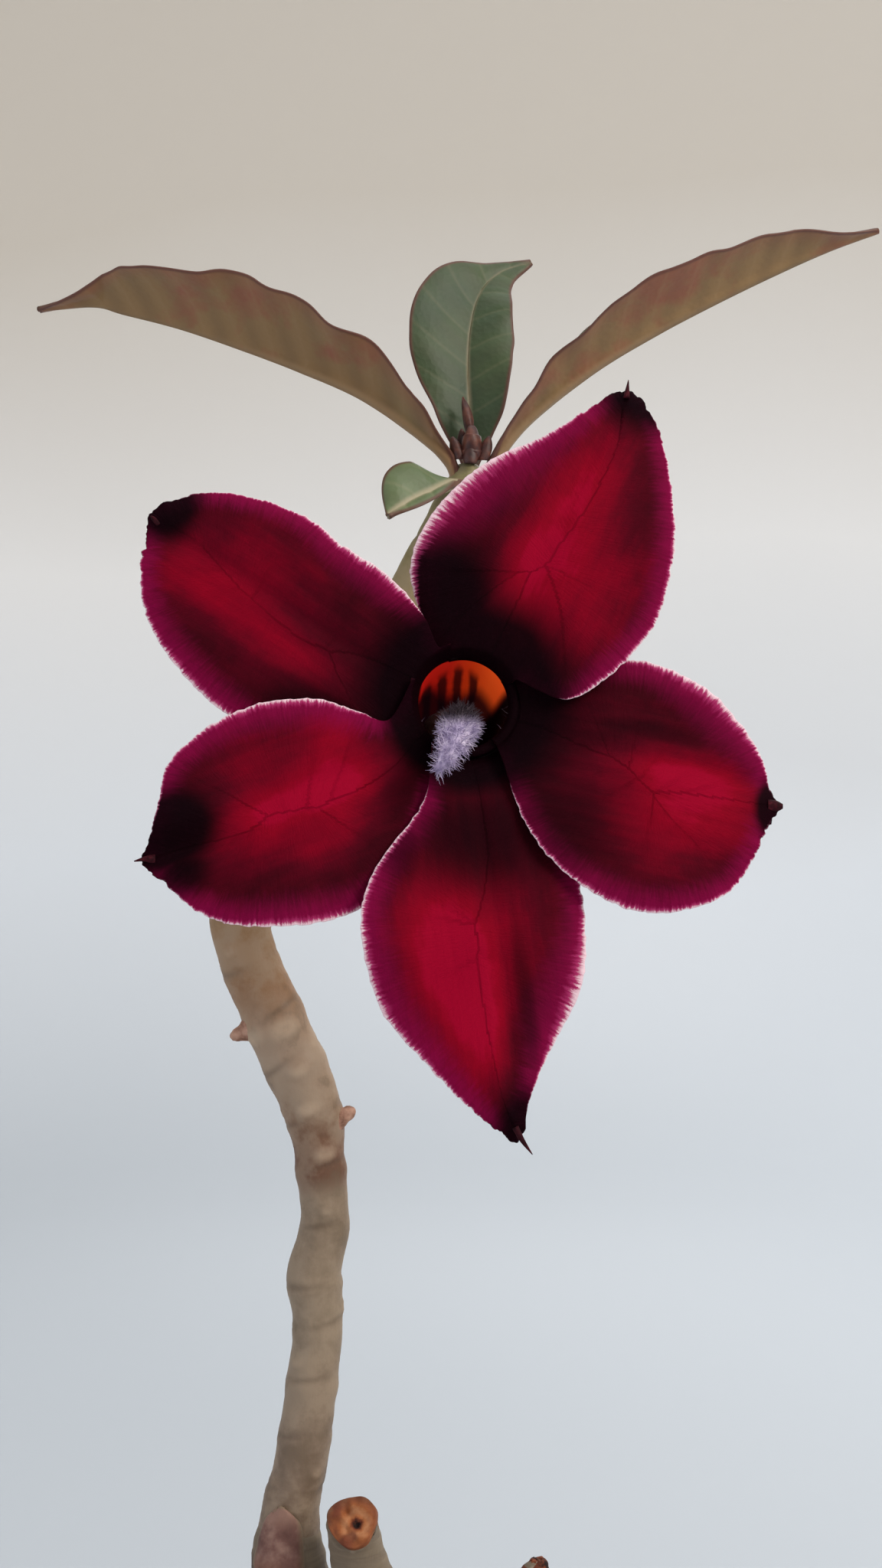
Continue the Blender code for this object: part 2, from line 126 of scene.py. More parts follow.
def turned(name, profile, steps):
    """A lathe body from (radius, height) in mm, its ends on the axis."""
    verts, faces, rings = [], [], []
    for r, z in profile:
        if r < 1e-6:
            rings.append([len(verts)] * steps)
            verts.append((0.0, 0.0, z * 0.001))
            continue
        rings.append(list(range(len(verts), len(verts) + steps)))
        for k in range(steps):
            a = 2.0 * math.pi * k / steps
            verts.append((r * 0.001 * math.cos(a), r * 0.001 * math.sin(a), z * 0.001))
    for high, low in zip(rings, rings[1:]):
        for k in range(steps):
            j = (k + 1) % steps
            corners = [high[k], low[k], low[j], high[j]]
            kept = [c for i, c in enumerate(corners) if c not in corners[:i]]
            if len(kept) > 2:
                faces.append(kept)
    mesh = bpy.data.meshes.new(name)
    mesh.from_pydata(verts, [], faces)
    mesh.shade_smooth()
    return mesh


RIM_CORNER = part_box("pot")[1] * 1000.0
RIM_R, RIM_Z = RIM_CORNER.x, RIM_CORNER.z

# Unglazed fired clay looks dull and dusty: warm brown clouds, sandy grog, and rings that catch low light.
fired_clay, clay = blank("fired_clay")
where = add(clay, "ShaderNodeTexCoord", out="Object")
clouds = add(clay, "ShaderNodeTexNoise", {"Vector": where, "Scale": 38.0, "Detail": 6.0, "Roughness": 0.6})
grog = add(clay, "ShaderNodeTexNoise", {"Vector": where, "Scale": 1600.0, "Detail": 3.0})
# Turning marks: about one and a half millimetres apart up the wall.
ring_place = add(clay, "ShaderNodeMapping", {"Vector": where, "Scale": (8.0, 8.0, 640.0)})
rings = add(clay, "ShaderNodeTexNoise", {"Vector": ring_place, "Scale": 1.0, "Detail": 3.0})
body = add(clay, "ShaderNodeValToRGB", {0: clouds}, stops=((0.3, "#9c5335"), (0.52, "#b4663f"), (0.75, "#c07a52")))
sandy = add(clay, "ShaderNodeMapRange", {0: grog, 1: 0.55, 2: 0.75, 4: 0.45})
body = add(clay, "ShaderNodeMix", {0: sandy, 6: body, 7: "#7d4029"}, 2, data_type="RGBA")
height = add(clay, "ShaderNodeSeparateXYZ", {0: where}, "Z")
low_bloom = add(clay, "ShaderNodeMapRange", {0: height, 1: 0.034, 2: 0.002, 4: 0.55})
top_bloom = add(clay, "ShaderNodeMapRange", {0: height, 1: 0.070, 2: 0.091, 4: 0.45})
bloom = add(clay, "ShaderNodeMath", {0: low_bloom, 1: top_bloom}, operation="MAXIMUM")
patchy = add(clay, "ShaderNodeMapRange", {0: clouds, 1: 0.42, 2: 0.62}, interpolation_type="SMOOTHSTEP")
bloom = add(clay, "ShaderNodeMath", {0: bloom, 1: patchy}, operation="MULTIPLY")
body = add(clay, "ShaderNodeMix", {0: bloom, 6: body, 7: "#d9c6b4"}, 2, data_type="RGBA")
marks = add(clay, "ShaderNodeBump", {"Height": rings, "Distance": 0.00022})
marks = add(clay, "ShaderNodeBump", {"Height": grog, "Distance": 0.0001, "Normal": marks})
add(clay, "ShaderNodeOutputMaterial", {0: add(clay, "ShaderNodeBsdfPrincipled", {
    "Base Color": body, "Roughness": 0.86, "Specular IOR Level": 0.3, "Normal": marks})}, None)

WALL, DRAINS, DRAIN_R, DRAIN_RING = 5.5, 3, 0.0045, 0.019
# The section, in mm: up the inside from the floor, over the lip, down the collar and the outer wall.
pot_profile = [(0.0, 6.0), (31.0, 6.0), (34.0, 7.2), (36.5, 19.0), (39.0, 31.0), (41.6, 43.0), (44.2, 55.0),
               (46.7, 67.0), (49.3, 79.0), (RIM_R - WALL, RIM_Z - 1.2), (RIM_R - WALL + 0.9, RIM_Z - 0.1),
               (RIM_R - 2.6, RIM_Z), (RIM_R - 0.9, RIM_Z - 0.4), (RIM_R - 0.2, RIM_Z - 1.6),
               (RIM_R - 0.5, RIM_Z - 8.0), (RIM_R - 1.4, 72.6), (RIM_R - 2.2, 71.3), (RIM_R - 3.6, 70.8),
               (52.4, 70.9), (51.5, 70.2), (48.7, 55.0), (45.4, 37.0), (42.1, 19.0), (39.3, 3.0), (38.4, 0.7),
               (37.0, 0.0), (0.0, 0.0)]
pot_blank = shown("pot_blank", turned("pot_blank", pot_profile, 160), fired_clay)
for k in range(DRAINS):
    a = math.radians(90.0 + 360.0 / DRAINS * k)
    bore = bpy.data.meshes.new("drain")
    work = bmesh.new()
    bmesh.ops.create_cone(work, cap_ends=True, segments=36, radius1=DRAIN_R, radius2=DRAIN_R, depth=0.03,
                          matrix=Matrix.Translation((DRAIN_RING * math.cos(a), DRAIN_RING * math.sin(a), 0.002)))
    work.to_mesh(bore)
    work.free()
    tool = shown(f"drain_{k}", bore, fired_clay)
    tool.hide_render = True
    cut = pot_blank.modifiers.new("Drain", "BOOLEAN")
    cut.operation, cut.solver, cut.object = "DIFFERENCE", "EXACT", tool
pot_mesh = plain_mesh(pot_blank)
for k in range(DRAINS):
    bpy.data.objects.remove(bpy.data.objects[f"drain_{k}"], do_unlink=True)
pot_mesh.set_sharp_from_angle(angle=math.radians(50.0))
stand_in(shown("clay_pot", pot_mesh, fired_clay), "clay", "pot")

# ---------------------------------------------------------------- The potting mix
# A free-draining mix: dark composted bark below, with chips of pumice, bark and grit lying loose on top,
# from about one to four millimetres across. It stands a little below the rim and heaps against the caudex.
SOIL_LOW, SOIL_HIGH = (corner * 1000.0 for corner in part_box("soil"))
SOIL_R = SOIL_HIGH.x


def soil_height(x, y):
    """The level of the mix at this place, in mm: low at the rim, in gentle humps and small lumps."""
    r = math.hypot(x, y)
    level = SOIL_HIGH.z - 0.9 - 1.5 * min(1.0, r / 46.0) ** 2
    humps = 0.9 * noise.noise(Vector((x * 0.09, y * 0.09, 3.0)))
    return level + (humps + 0.35 * noise.noise(Vector((x * 0.35, y * 0.35, 9.0))))


# Composted bark is dark and wholly matt, and looks like crumbs rather than like one surface.
composted_bark, soil = blank("composted_bark")
where = add(soil, "ShaderNodeTexCoord", out="Object")
# Crumbs a millimetre and a half across, each its own brown, with damp patches between.
crumbs = add(soil, "ShaderNodeTexVoronoi", {"Vector": where, "Scale": 620.0}, "Color")
gaps = add(soil, "ShaderNodeTexVoronoi", {"Vector": where, "Scale": 620.0}, "Distance")
damp = add(soil, "ShaderNodeTexNoise", {"Vector": where, "Scale": 60.0, "Detail": 5.0})
earth = add(soil, "ShaderNodeValToRGB", {0: add(soil, "ShaderNodeSeparateColor", {0: crumbs})}, stops=(
    (0.0, "#241810"), (0.55, "#3a2a1c"), (0.85, "#54402b"), (0.97, "#8d8272")))
damp = add(soil, "ShaderNodeMapRange", {0: damp, 1: 0.45, 2: 0.7}, interpolation_type="SMOOTHSTEP")
earth = add(soil, "ShaderNodeMix", {0: damp, 6: earth, 7: "#1c120c"}, 2, data_type="RGBA")
add(soil, "ShaderNodeOutputMaterial", {0: add(soil, "ShaderNodeBsdfPrincipled", {
    "Base Color": earth, "Roughness": 0.95, "Specular IOR Level": 0.2,
    "Normal": add(soil, "ShaderNodeBump", {"Height": gaps, "Distance": 0.0007})})}, None)

verts, faces = [], []
AROUND, OUT = 120, 44
for i in range(OUT + 1):
    r = max(SOIL_R * i / OUT, 0.05)
    for k in range(AROUND):
        a = 2.0 * math.pi * k / AROUND
        x, y = r * math.cos(a), r * math.sin(a)
        verts.append((x, y, soil_height(x, y)))
for r, z in ((SOIL_R - 0.4, SOIL_HIGH.z - 8.0), (SOIL_LOW.x * -1.0 - 14.0, SOIL_LOW.z + 1.0), (0.05, SOIL_LOW.z)):
    for k in range(AROUND):
        a = 2.0 * math.pi * k / AROUND
        verts.append((r * math.cos(a), r * math.sin(a), z))
for i in range(OUT + 3):
    for k in range(AROUND):
        j = (k + 1) % AROUND
        faces.append((i * AROUND + k, (i + 1) * AROUND + k, (i + 1) * AROUND + j, i * AROUND + j))
faces.append(tuple(range(AROUND)))
faces.append(tuple(reversed(range((OUT + 3) * AROUND, (OUT + 4) * AROUND))))
soil_mesh = bpy.data.meshes.new("potting_mix")
soil_mesh.from_pydata([Vector(v) * 0.001 for v in verts], [], faces)
soil_mesh.shade_smooth()
soil_mesh.attributes.new("top", "FLOAT", "POINT")
soil_mesh.attributes["top"].data.foreach_set("value", [1.0 if i < (OUT - 1) * AROUND else 0.0
                                                       for i in range(len(soil_mesh.vertices))])
potting_mix = stand_in(shown("potting_mix", soil_mesh, composted_bark), "soil", "soil")


def chip(name, seed, flat):
    """A few-sided broken chip, a millimetre across."""
    mesh = bpy.data.meshes.new(name)
    work = bmesh.new()
    bmesh.ops.create_icosphere(work, subdivisions=1, radius=0.0005)
    for vert in work.verts:
        pull = 1.0 + 0.45 * noise.noise(vert.co * 1900.0 + Vector((seed, 0.0, 0.0)))
        vert.co = Vector((vert.co.x * pull * 1.25, vert.co.y * pull, vert.co.z * pull * flat))
    work.to_mesh(mesh)
    work.free()
    return mesh


def chip_finish(name, dark, pale, pores):
    """Broken mineral or bark: two tones in patches, with pores or grain a fifth of a millimetre apart."""
    material, tree = blank(name)
    spot = add(tree, "ShaderNodeTexCoord", out="Object")
    tone = add(tree, "ShaderNodeTexNoise", {"Vector": spot, "Scale": 300.0, "Detail": 4.0})
    pits = add(tree, "ShaderNodeTexNoise", {"Vector": spot, "Scale": pores, "Detail": 3.0})
    colour = add(tree, "ShaderNodeValToRGB", {0: tone}, stops=((0.35, dark), (0.65, pale)))
    pitted = add(tree, "ShaderNodeMapRange", {0: pits, 1: 0.55, 2: 0.35, 4: 0.5}, interpolation_type="SMOOTHSTEP")
    colour = add(tree, "ShaderNodeMix", {0: pitted, 6: colour, 7: dark}, 2, data_type="RGBA")
    add(tree, "ShaderNodeOutputMaterial", {0: add(tree, "ShaderNodeBsdfPrincipled", {
        "Base Color": colour, "Roughness": 0.9, "Specular IOR Level": 0.25,
        "Normal": add(tree, "ShaderNodeBump", {"Height": pits, "Distance": 0.00012})})}, None)
    return material


def fresh_group(name, *inputs):
    """An empty Geometry Nodes tree with a Geometry input and these number inputs, as (name, default)."""
    tree = bpy.data.node_groups.new(name, "GeometryNodeTree")
    tree.interface.new_socket("Geometry", in_out="INPUT", socket_type="NodeSocketGeometry")
    for label, start in inputs:
        tree.interface.new_socket(label, in_out="INPUT", socket_type="NodeSocketFloat").default_value = start
    tree.interface.new_socket("Geometry", in_out="OUTPUT", socket_type="NodeSocketGeometry")
    return tree, add(tree, "NodeGroupInput", out=None).outputs


def grown(name, base, tree, settings, slot):
    """Runs a Geometry Nodes tree on a piece and keeps what it makes as a plain mesh of its own."""
    host = bpy.data.objects.new(name, base.data)
    bpy.context.scene.collection.objects.link(host)
    run = host.modifiers.new("Nodes", "NODES")
    run.node_group = tree
    for item in tree.interface.items_tree:
        if item.in_out == "INPUT" and item.name in settings:
            run[item.identifier] = settings[item.name]
    mesh = plain_mesh(host)
    obj = bpy.data.objects.new(name, mesh)
    bpy.context.scene.collection.objects.link(obj)
    return stand_in(obj, slot)


def scatter_tree(name, grain, material, seed):
    """Chips lying at random turns on the top of the mix, clear of the caudex."""
    tree, given = fresh_group(name, ("Chips per square metre", 1.0), ("Smallest", 1.0), ("Largest", 2.0),
                              ("Clear radius", 0.02))
    place = add(tree, "GeometryNodeInputPosition")
    flat = add(tree, "ShaderNodeVectorMath", {0: place, 1: (1.0, 1.0, 0.0)}, operation="MULTIPLY")
    far = add(tree, "ShaderNodeVectorMath", {0: flat}, "Value", operation="LENGTH")
    beyond = add(tree, "FunctionNodeCompare", {0: far, 1: given["Clear radius"]}, operation="GREATER_THAN")
    top = add(tree, "GeometryNodeInputNamedAttribute", {"Name": "top"}, data_type="FLOAT")
    both = add(tree, "ShaderNodeMath", {0: beyond, 1: top}, operation="MULTIPLY")
    points = add(tree, "GeometryNodeDistributePointsOnFaces", {
        "Mesh": given["Geometry"], "Selection": both, "Density": given["Chips per square metre"], "Seed": seed})
    turn = add(tree, "FunctionNodeRandomValue", {0: (-0.5, -0.5, 0.0), 1: (0.5, 0.5, 6.28), "Seed": seed + 1},
               data_type="FLOAT_VECTOR")
    size = add(tree, "FunctionNodeRandomValue", {2: given["Smallest"], 3: given["Largest"], "Seed": seed + 2}, 1)
    grain_mesh = add(tree, "GeometryNodeObjectInfo", {"Object": grain}, "Geometry")
    laid = add(tree, "GeometryNodeInstanceOnPoints", {"Points": points, "Instance": grain_mesh, "Rotation": turn,
                                                      "Scale": size})
    real = add(tree, "GeometryNodeRealizeInstances", {"Geometry": laid})
    add(tree, "NodeGroupOutput", {0: add(tree, "GeometryNodeSetMaterial", {"Geometry": real, "Material": material})},
        None)
    return tree


# Each kind of chip: its colours, pores per metre, flatness, chips per square metre, and least and most size.
CLEAR_OF_CAUDEX = 0.0245
for name, dark, pale, pores, flat, share, smallest, largest in (
        ("bark_chips", "#3b2717", "#6d4a2d", 900.0, 0.45, 190000.0, 1.6, 4.2),
        ("pumice_grit", "#a79d8c", "#d8d1c2", 1800.0, 0.85, 110000.0, 1.4, 3.2),
        ("lava_grit", "#33211d", "#5c3a31", 1800.0, 0.85, 80000.0, 1.2, 2.8),
        ("fine_grit", "#55463a", "#93846f", 1400.0, 0.8, 420000.0, 0.6, 1.3)):
    grain = shown(name + "_one", chip(name + "_one", len(name) * 3.1, flat), composted_bark)
    tree = scatter_tree(name, grain, chip_finish(name, dark, pale, pores), len(name) * 7)
    grown(name, potting_mix, tree, {"Chips per square metre": share, "Smallest": smallest, "Largest": largest,
                                    "Clear radius": CLEAR_OF_CAUDEX}, "soil")
    bpy.data.objects.remove(grain, do_unlink=True)

# ---------------------------------------------------------------- The rootstock
# A seed-grown caudex: a water-filled wooden bottle with root shoulders, in smooth grey-brown bark that
# stretches into fine furrows. Its own branches were cut off; their ends have dried to orange-brown wood.
# The bottle as (height, radius, depth of its furrows); each arm as (place, radius); all in mm.
CAUDEX = ((30.0, 5.5, 0.04), (50.0, 13.0, 0.08), (66.0, 20.0, 0.12), (78.0, 25.5, 0.15), (86.0, 27.5, 0.13),
          (95.0, 27.0, 0.09), (104.0, 23.5, 0.06), (112.0, 18.0, 0.05), (119.0, 13.2, 0.05), (125.0, 10.6, 0.06),
          (130.0, 7.0, 0.05))
GRAFT_ARM = (((-3.0, 0.0, 116.0), 8.4), ((-9.0, 0.3, 127.0), 6.2), ((-13.4, 0.2, 134.0), 5.0),
             ((-14.9, 0.0, 140.5), 4.4), ((-14.8, 0.0, 144.5), 3.7))
CUT_ARM = (((-1.0, -1.0, 121.0), 7.2), ((-3.6, -3.0, 132.0), 4.7), ((-6.0, -5.2, 140.6), 3.5),
           ((-6.8, -7.4, 145.9), 3.1), ((-7.1, -10.6, 148.9), 2.9))
SHORT_ARM = (((2.0, 0.0, 116.0), 8.4), ((8.0, 0.8, 127.5), 5.2), ((12.6, 0.4, 135.0), 2.7), ((14.7, 0.0, 139.3), 1.6),
             ((15.0, 0.0, 140.3), 0.9))
CUT_CENTRE, CUT_FACING, CUT_R = Vector((-6.95, -9.7, 148.1)), Vector((-0.16, -0.84, 0.52)).normalized(), 2.8
VOXEL = 0.00062


def through(points, per_span):
    """Points on a smooth curve through these rows of numbers, as an array."""
    rows = np.array(points, float)
    rows = np.vstack([2 * rows[0] - rows[1], rows, 2 * rows[-1] - rows[-2]])
    found = []
    for i in range(len(rows) - 3):
        a, b, c, d = rows[i:i + 4]
        for t in np.arange(per_span) / per_span:
            found.append(0.5 * (2 * b + (c - a) * t + (2 * a - 5 * b + 4 * c - d) * t * t
                                + (3 * b - a - 3 * c + d) * t ** 3))
    found.append(rows[-2])
    return np.array(found)


def close_up(mesh, merge=0.0):
    """Merges points closer than `merge` metres, turns the faces outwards, and shades the body smooth."""
    work = bmesh.new()
    work.from_mesh(mesh)
    if merge:
        bmesh.ops.remove_doubles(work, verts=work.verts, dist=merge)
    bmesh.ops.recalc_face_normals(work, faces=work.faces)
    work.to_mesh(mesh)
    work.free()
    mesh.shade_smooth()


def swept(name, path, around, swell=None):
    """A closed tube through rows of (x, y, z, radius); swell(share, angle, place) adds to the radius, in mm."""
    centre, radius = path[:, :3], path[:, 3]
    ahead = np.gradient(centre, axis=0)
    ahead /= np.linalg.norm(ahead, axis=1)[:, None]
    side = np.cross(ahead[0], (0.0, 1.0, 0.0))
    side /= np.linalg.norm(side)
    verts = []
    for i in range(len(path)):
        side = side - ahead[i] * side.dot(ahead[i])
        side /= np.linalg.norm(side)
        other = np.cross(ahead[i], side)
        for k in range(around):
            a = 2.0 * math.pi * k / around
            out = side * math.cos(a) + other * math.sin(a)
            r = radius[i] + (swell(i / (len(path) - 1.0), a, centre[i]) if swell else 0.0)
            verts.append(centre[i] + out * r)
    verts.append(centre[0])
    verts.append(centre[-1])
    count = len(path)
    faces = []
    for k in range(around):
        j = (k + 1) % around
        for i in range(count - 1):
            faces.append((i * around + k, i * around + j, (i + 1) * around + j, (i + 1) * around + k))
        faces.append((count * around, j, k))
        faces.append((count * around + 1, (count - 1) * around + k, (count - 1) * around + j))
    mesh = bpy.data.meshes.new(name)
    mesh.from_pydata((np.array(verts) * 0.001).tolist(), [], faces)
    close_up(mesh)
    return mesh


def path_of(points, per_span):
    """A smooth path of (x, y, z, radius) rows through ((x, y, z), radius) pairs."""
    return through([(*place, radius) for place, radius in points], per_span)


def attribute(mesh, name, values):
    """Writes one number, or one (x, y, z), for each point."""
    values = np.asarray(values, np.float32)
    kind, field = ("FLOAT", "value") if values.ndim == 1 else ("FLOAT_VECTOR", "vector")
    mesh.attributes.new(name, kind, "POINT").data.foreach_set(field, values.ravel())


bottle = through(CAUDEX, 6)
verts, faces = [], []
RINGS, AROUND = len(bottle), 150
for z, r, depth in bottle:
    for k in range(AROUND):
        a = 2.0 * math.pi * k / AROUND
        wave = math.sin(7.0 * a + 0.06 * z) * 0.6 + math.sin(3.0 * a + 1.3 - 0.03 * z) * 0.4
        reach = r * (1.0 + depth * wave)
        verts.append((reach * math.cos(a) * 0.001, reach * math.sin(a) * 0.001, z * 0.001))
for i in range(RINGS - 1):
    for k in range(AROUND):
        j = (k + 1) % AROUND
        faces.append((i * AROUND + k, i * AROUND + j, (i + 1) * AROUND + j, (i + 1) * AROUND + k))
faces += [tuple(reversed(range(AROUND))), tuple(range((RINGS - 1) * AROUND, RINGS * AROUND))]
caudex_mesh = bpy.data.meshes.new("caudex")
caudex_mesh.from_pydata(verts, [], faces)
work = bmesh.new()
work.from_mesh(caudex_mesh)
for arm in (GRAFT_ARM, CUT_ARM, SHORT_ARM):
    work.from_mesh(swept("arm", path_of(arm, 8), 40))
work.to_mesh(caudex_mesh)
work.free()

flesh = shown("flesh", caudex_mesh, fired_clay)
remesh = flesh.modifiers.new("Fuse", "REMESH")
remesh.mode, remesh.voxel_size, remesh.use_smooth_shade = "VOXEL", VOXEL, True
soften = flesh.modifiers.new("Soften", "SMOOTH")
soften.factor, soften.iterations = 0.5, 14
caudex_mesh = plain_mesh(flesh)

count = len(caudex_mesh.vertices)
place = np.empty(count * 3)
caudex_mesh.vertices.foreach_get("co", place)
place = place.reshape(-1, 3) * 1000.0
facing = np.array([v.normal for v in caudex_mesh.vertices])
move = np.zeros(count)
for i, (x, y, z) in enumerate(place):
    around = math.atan2(y, x)
    # Stretch furrows run up the bottle; creases run round the arms; both on a slow swelling.
    furrow = noise.noise(Vector((math.cos(around) * 7.0, math.sin(around) * 7.0, z * 0.05)))
    crease = noise.noise(Vector((x * 0.12, y * 0.12, z * 0.75)))
    slow = noise.noise(Vector((x * 0.11, y * 0.11, z * 0.10)))
    on_arm = min(1.0, max(0.0, (z - 116.0) / 10.0))
    move[i] = 0.55 * slow * (1.0 - 0.6 * on_arm) + 0.22 * furrow * (1.0 - on_arm) + (0.10 + 0.10 * on_arm) * crease
place += facing * move[:, None]
caudex_mesh.vertices.foreach_set("co", (place * 0.001).ravel())

# The saw cut: everything beyond a plane just under the cut face, near it, is pressed flat on to that plane.
toward = (place - np.array(CUT_CENTRE)) @ np.array(CUT_FACING) + 1.0
near = np.linalg.norm(place - np.array(CUT_CENTRE), axis=1) < 5.0
pressed = near & (toward > 0.0)
place[pressed] -= np.array(CUT_FACING) * toward[pressed][:, None]
caudex_mesh.vertices.foreach_set("co", (place * 0.001).ravel())

# Water-filled bark looks matt and a little leathery: grey and brown blotches, creases, and pale pores.
succulent_bark, bark = blank("succulent_bark")
where = add(bark, "ShaderNodeTexCoord", out="Object")
blotch = add(bark, "ShaderNodeTexNoise", {"Vector": where, "Scale": 95.0, "Detail": 6.0, "Roughness": 0.62})
tall = add(bark, "ShaderNodeMapping", {"Vector": where, "Scale": (900.0, 900.0, 150.0)})
fibres = add(bark, "ShaderNodeTexNoise", {"Vector": tall, "Scale": 1.0, "Detail": 4.0})
wide = add(bark, "ShaderNodeMapping", {"Vector": where, "Scale": (130.0, 130.0, 900.0)})
wrinkles = add(bark, "ShaderNodeTexNoise", {"Vector": wide, "Scale": 1.0, "Detail": 4.0})
pores = add(bark, "ShaderNodeTexVoronoi", {"Vector": where, "Scale": 420.0})
skin = add(bark, "ShaderNodeValToRGB", {0: blotch}, stops=((0.28, "#5f5041"), (0.48, "#7c6d59"), (0.62, "#8d7e69"),
                                                           (0.78, "#a3967f")))
creased = add(bark, "ShaderNodeMapRange", {0: wrinkles, 1: 0.56, 2: 0.40, 4: 0.5}, interpolation_type="SMOOTHSTEP")
skin = add(bark, "ShaderNodeMix", {0: creased, 6: skin, 7: "#54453a"}, 2, data_type="RGBA")
# Lenticels: pale raised pores, two to three millimetres apart.
lenticel = add(bark, "ShaderNodeMapRange", {0: pores, 1: 0.22, 2: 0.10, 4: 0.55}, interpolation_type="SMOOTHSTEP")
skin = add(bark, "ShaderNodeMix", {0: lenticel, 6: skin, 7: "#b3a591"}, 2, data_type="RGBA")
height = add(bark, "ShaderNodeSeparateXYZ", {0: where}, "Z")
# Darker towards the soil line, below about 92 mm.
darker_near_soil = add(bark, "ShaderNodeMapRange", {0: height, 1: 0.092, 2: 0.078, 4: 0.6}, interpolation_type="SMOOTHSTEP")
skin = add(bark, "ShaderNodeMix", {0: darker_near_soil, 6: skin, 7: "#5b4c3a"}, 2, data_type="RGBA")
# The youngest wood, at the ends of the arms, is still olive.
young = add(bark, "ShaderNodeMapRange", {0: height, 1: 0.126, 2: 0.142, 4: 0.5}, interpolation_type="SMOOTHSTEP")
skin = add(bark, "ShaderNodeMix", {0: young, 6: skin, 7: "#75695a"}, 2, data_type="RGBA")
# A dark scar on the left of the graft.
from_scar = add(bark, "ShaderNodeVectorMath", {0: where, 1: (-0.0192, -0.002, 0.1385)}, "Value", operation="DISTANCE")
scarred = add(bark, "ShaderNodeMapRange", {0: from_scar, 1: 0.0045, 2: 0.001, 4: 0.85},
              interpolation_type="SMOOTHSTEP")
skin = add(bark, "ShaderNodeMix", {0: scarred, 6: skin, 7: "#3d241a"}, 2, data_type="RGBA")
feel = add(bark, "ShaderNodeBump", {"Height": fibres, "Distance": 0.0001})
feel = add(bark, "ShaderNodeBump", {"Height": wrinkles, "Distance": 0.00016, "Normal": feel})
feel = add(bark, "ShaderNodeBump", {"Height": lenticel, "Distance": 0.00008, "Normal": feel})
add(bark, "ShaderNodeOutputMaterial", {0: add(bark, "ShaderNodeBsdfPrincipled", {
    "Base Color": skin, "Roughness": 0.72, "Specular IOR Level": 0.35, "Normal": feel})}, None)
stand_in(shown("caudex", caudex_mesh, succulent_bark), "bark", "rootstock")

# The sawn end: a callus ring of bark, pink-brown cortex, a paler ring of wood and an open pith, painted near-black as
# shade in its pit.
heartwood, wood = blank("dried_cut_wood")
spoke = add(wood, "ShaderNodeAttribute", out="Fac", attribute_name="from_pith")
where = add(wood, "ShaderNodeTexCoord", out="Object")
ragged = add(wood, "ShaderNodeTexNoise", {"Vector": where, "Scale": 700.0, "Detail": 5.0, "Roughness": 0.6})
broad = add(wood, "ShaderNodeTexNoise", {"Vector": where, "Scale": 330.0, "Detail": 2.0})
off = add(wood, "ShaderNodeMapRange", {0: ragged, 3: -0.3, 4: 0.3})
ring_at = add(wood, "ShaderNodeMath", {0: spoke, 1: off}, operation="ADD")
# The ramp's first stop paints the open pith near-black, as painted shade in its pit.
rings = add(wood, "ShaderNodeValToRGB", {0: ring_at}, stops=(
    (0.10, "#1c0906"), (0.19, "#6f341c"), (0.30, "#a06139"), (0.42, "#ad7650"), (0.60, "#93552f"), (0.82, "#7c4529"),
    (1.0, "#6f4a34")))
flecked = add(wood, "ShaderNodeMapRange", {0: broad, 1: 0.5, 2: 0.64, 4: 0.75}, interpolation_type="SMOOTHSTEP")
rings = add(wood, "ShaderNodeMix", {0: flecked, 6: rings, 7: "#643020"}, 2, data_type="RGBA")
add(wood, "ShaderNodeOutputMaterial", {0: add(wood, "ShaderNodeBsdfPrincipled", {
    "Base Color": rings, "Roughness": 0.78, "Specular IOR Level": 0.3,
    "Normal": add(wood, "ShaderNodeBump", {"Height": ragged, "Distance": 0.00025})})}, None)

RADII, AROUND = 22, 72
across = CUT_FACING.cross(Vector((0.0, 0.0, 1.0))).normalized()
upward = across.cross(CUT_FACING).normalized()
verts, faces, pith = [], [], []
for i in range(RADII + 4):
    share = min(1.0, i / RADII)
    for k in range(AROUND):
        a = 2.0 * math.pi * k / AROUND
        edge = CUT_R * (1.0 + 0.07 * math.sin(3.0 * a + 0.8)
                        + 0.04 * noise.noise(Vector((math.cos(a) * 2, math.sin(a) * 2, 5))))
        off = Vector((-0.6, -0.35)) * (1.0 - share)
        x, y = edge * share * math.cos(a) + off.x, edge * share * math.sin(a) + off.y
        rise = 0.25 - 0.75 * math.exp(-(share / 0.17) ** 2)
        rise += 0.5 * noise.noise(Vector((x * 0.9, y * 0.9, 2.0))) - 0.35 * max(0.0, share - 0.8) / 0.2 * 0.5
        # The bark stands up in a ragged splinter at the upper right.
        rise += 0.7 * math.exp(-((math.degrees(a) - 112.0) / 17.0) ** 2) * share ** 4
        # A second, shallow dimple beside the pith.
        rise -= 0.6 * math.exp(-((x - 0.7) ** 2 + (y - 0.9) ** 2) / 0.2)
        if i > RADII:
            rise -= 0.55 * (i - RADII)
        spot_at = CUT_CENTRE + across * x + upward * y + CUT_FACING * rise
        verts.append(spot_at * 0.001)
        pith.append(max(share, 0.02) if i <= RADII else 1.1)
for i in range(RADII + 3):
    for k in range(AROUND):
        j = (k + 1) % AROUND
        faces.append((i * AROUND + k, (i + 1) * AROUND + k, (i + 1) * AROUND + j, i * AROUND + j))
faces.append(tuple(range(AROUND)))
faces.append(tuple(reversed(range((RADII + 3) * AROUND, (RADII + 4) * AROUND))))
cut_mesh = bpy.data.meshes.new("sawn_end")
cut_mesh.from_pydata(verts, [], faces)
close_up(cut_mesh, 0.000002)
points = np.array([v.co for v in cut_mesh.vertices]) * 1000.0 - np.array(CUT_CENTRE - across * 0.6 - upward * 0.35)
points -= np.outer(points @ np.array(CUT_FACING), np.array(CUT_FACING))
attribute(cut_mesh, "from_pith", np.linalg.norm(points, axis=1) / 3.3)
stand_in(shown("sawn_end", cut_mesh, heartwood), "bark")

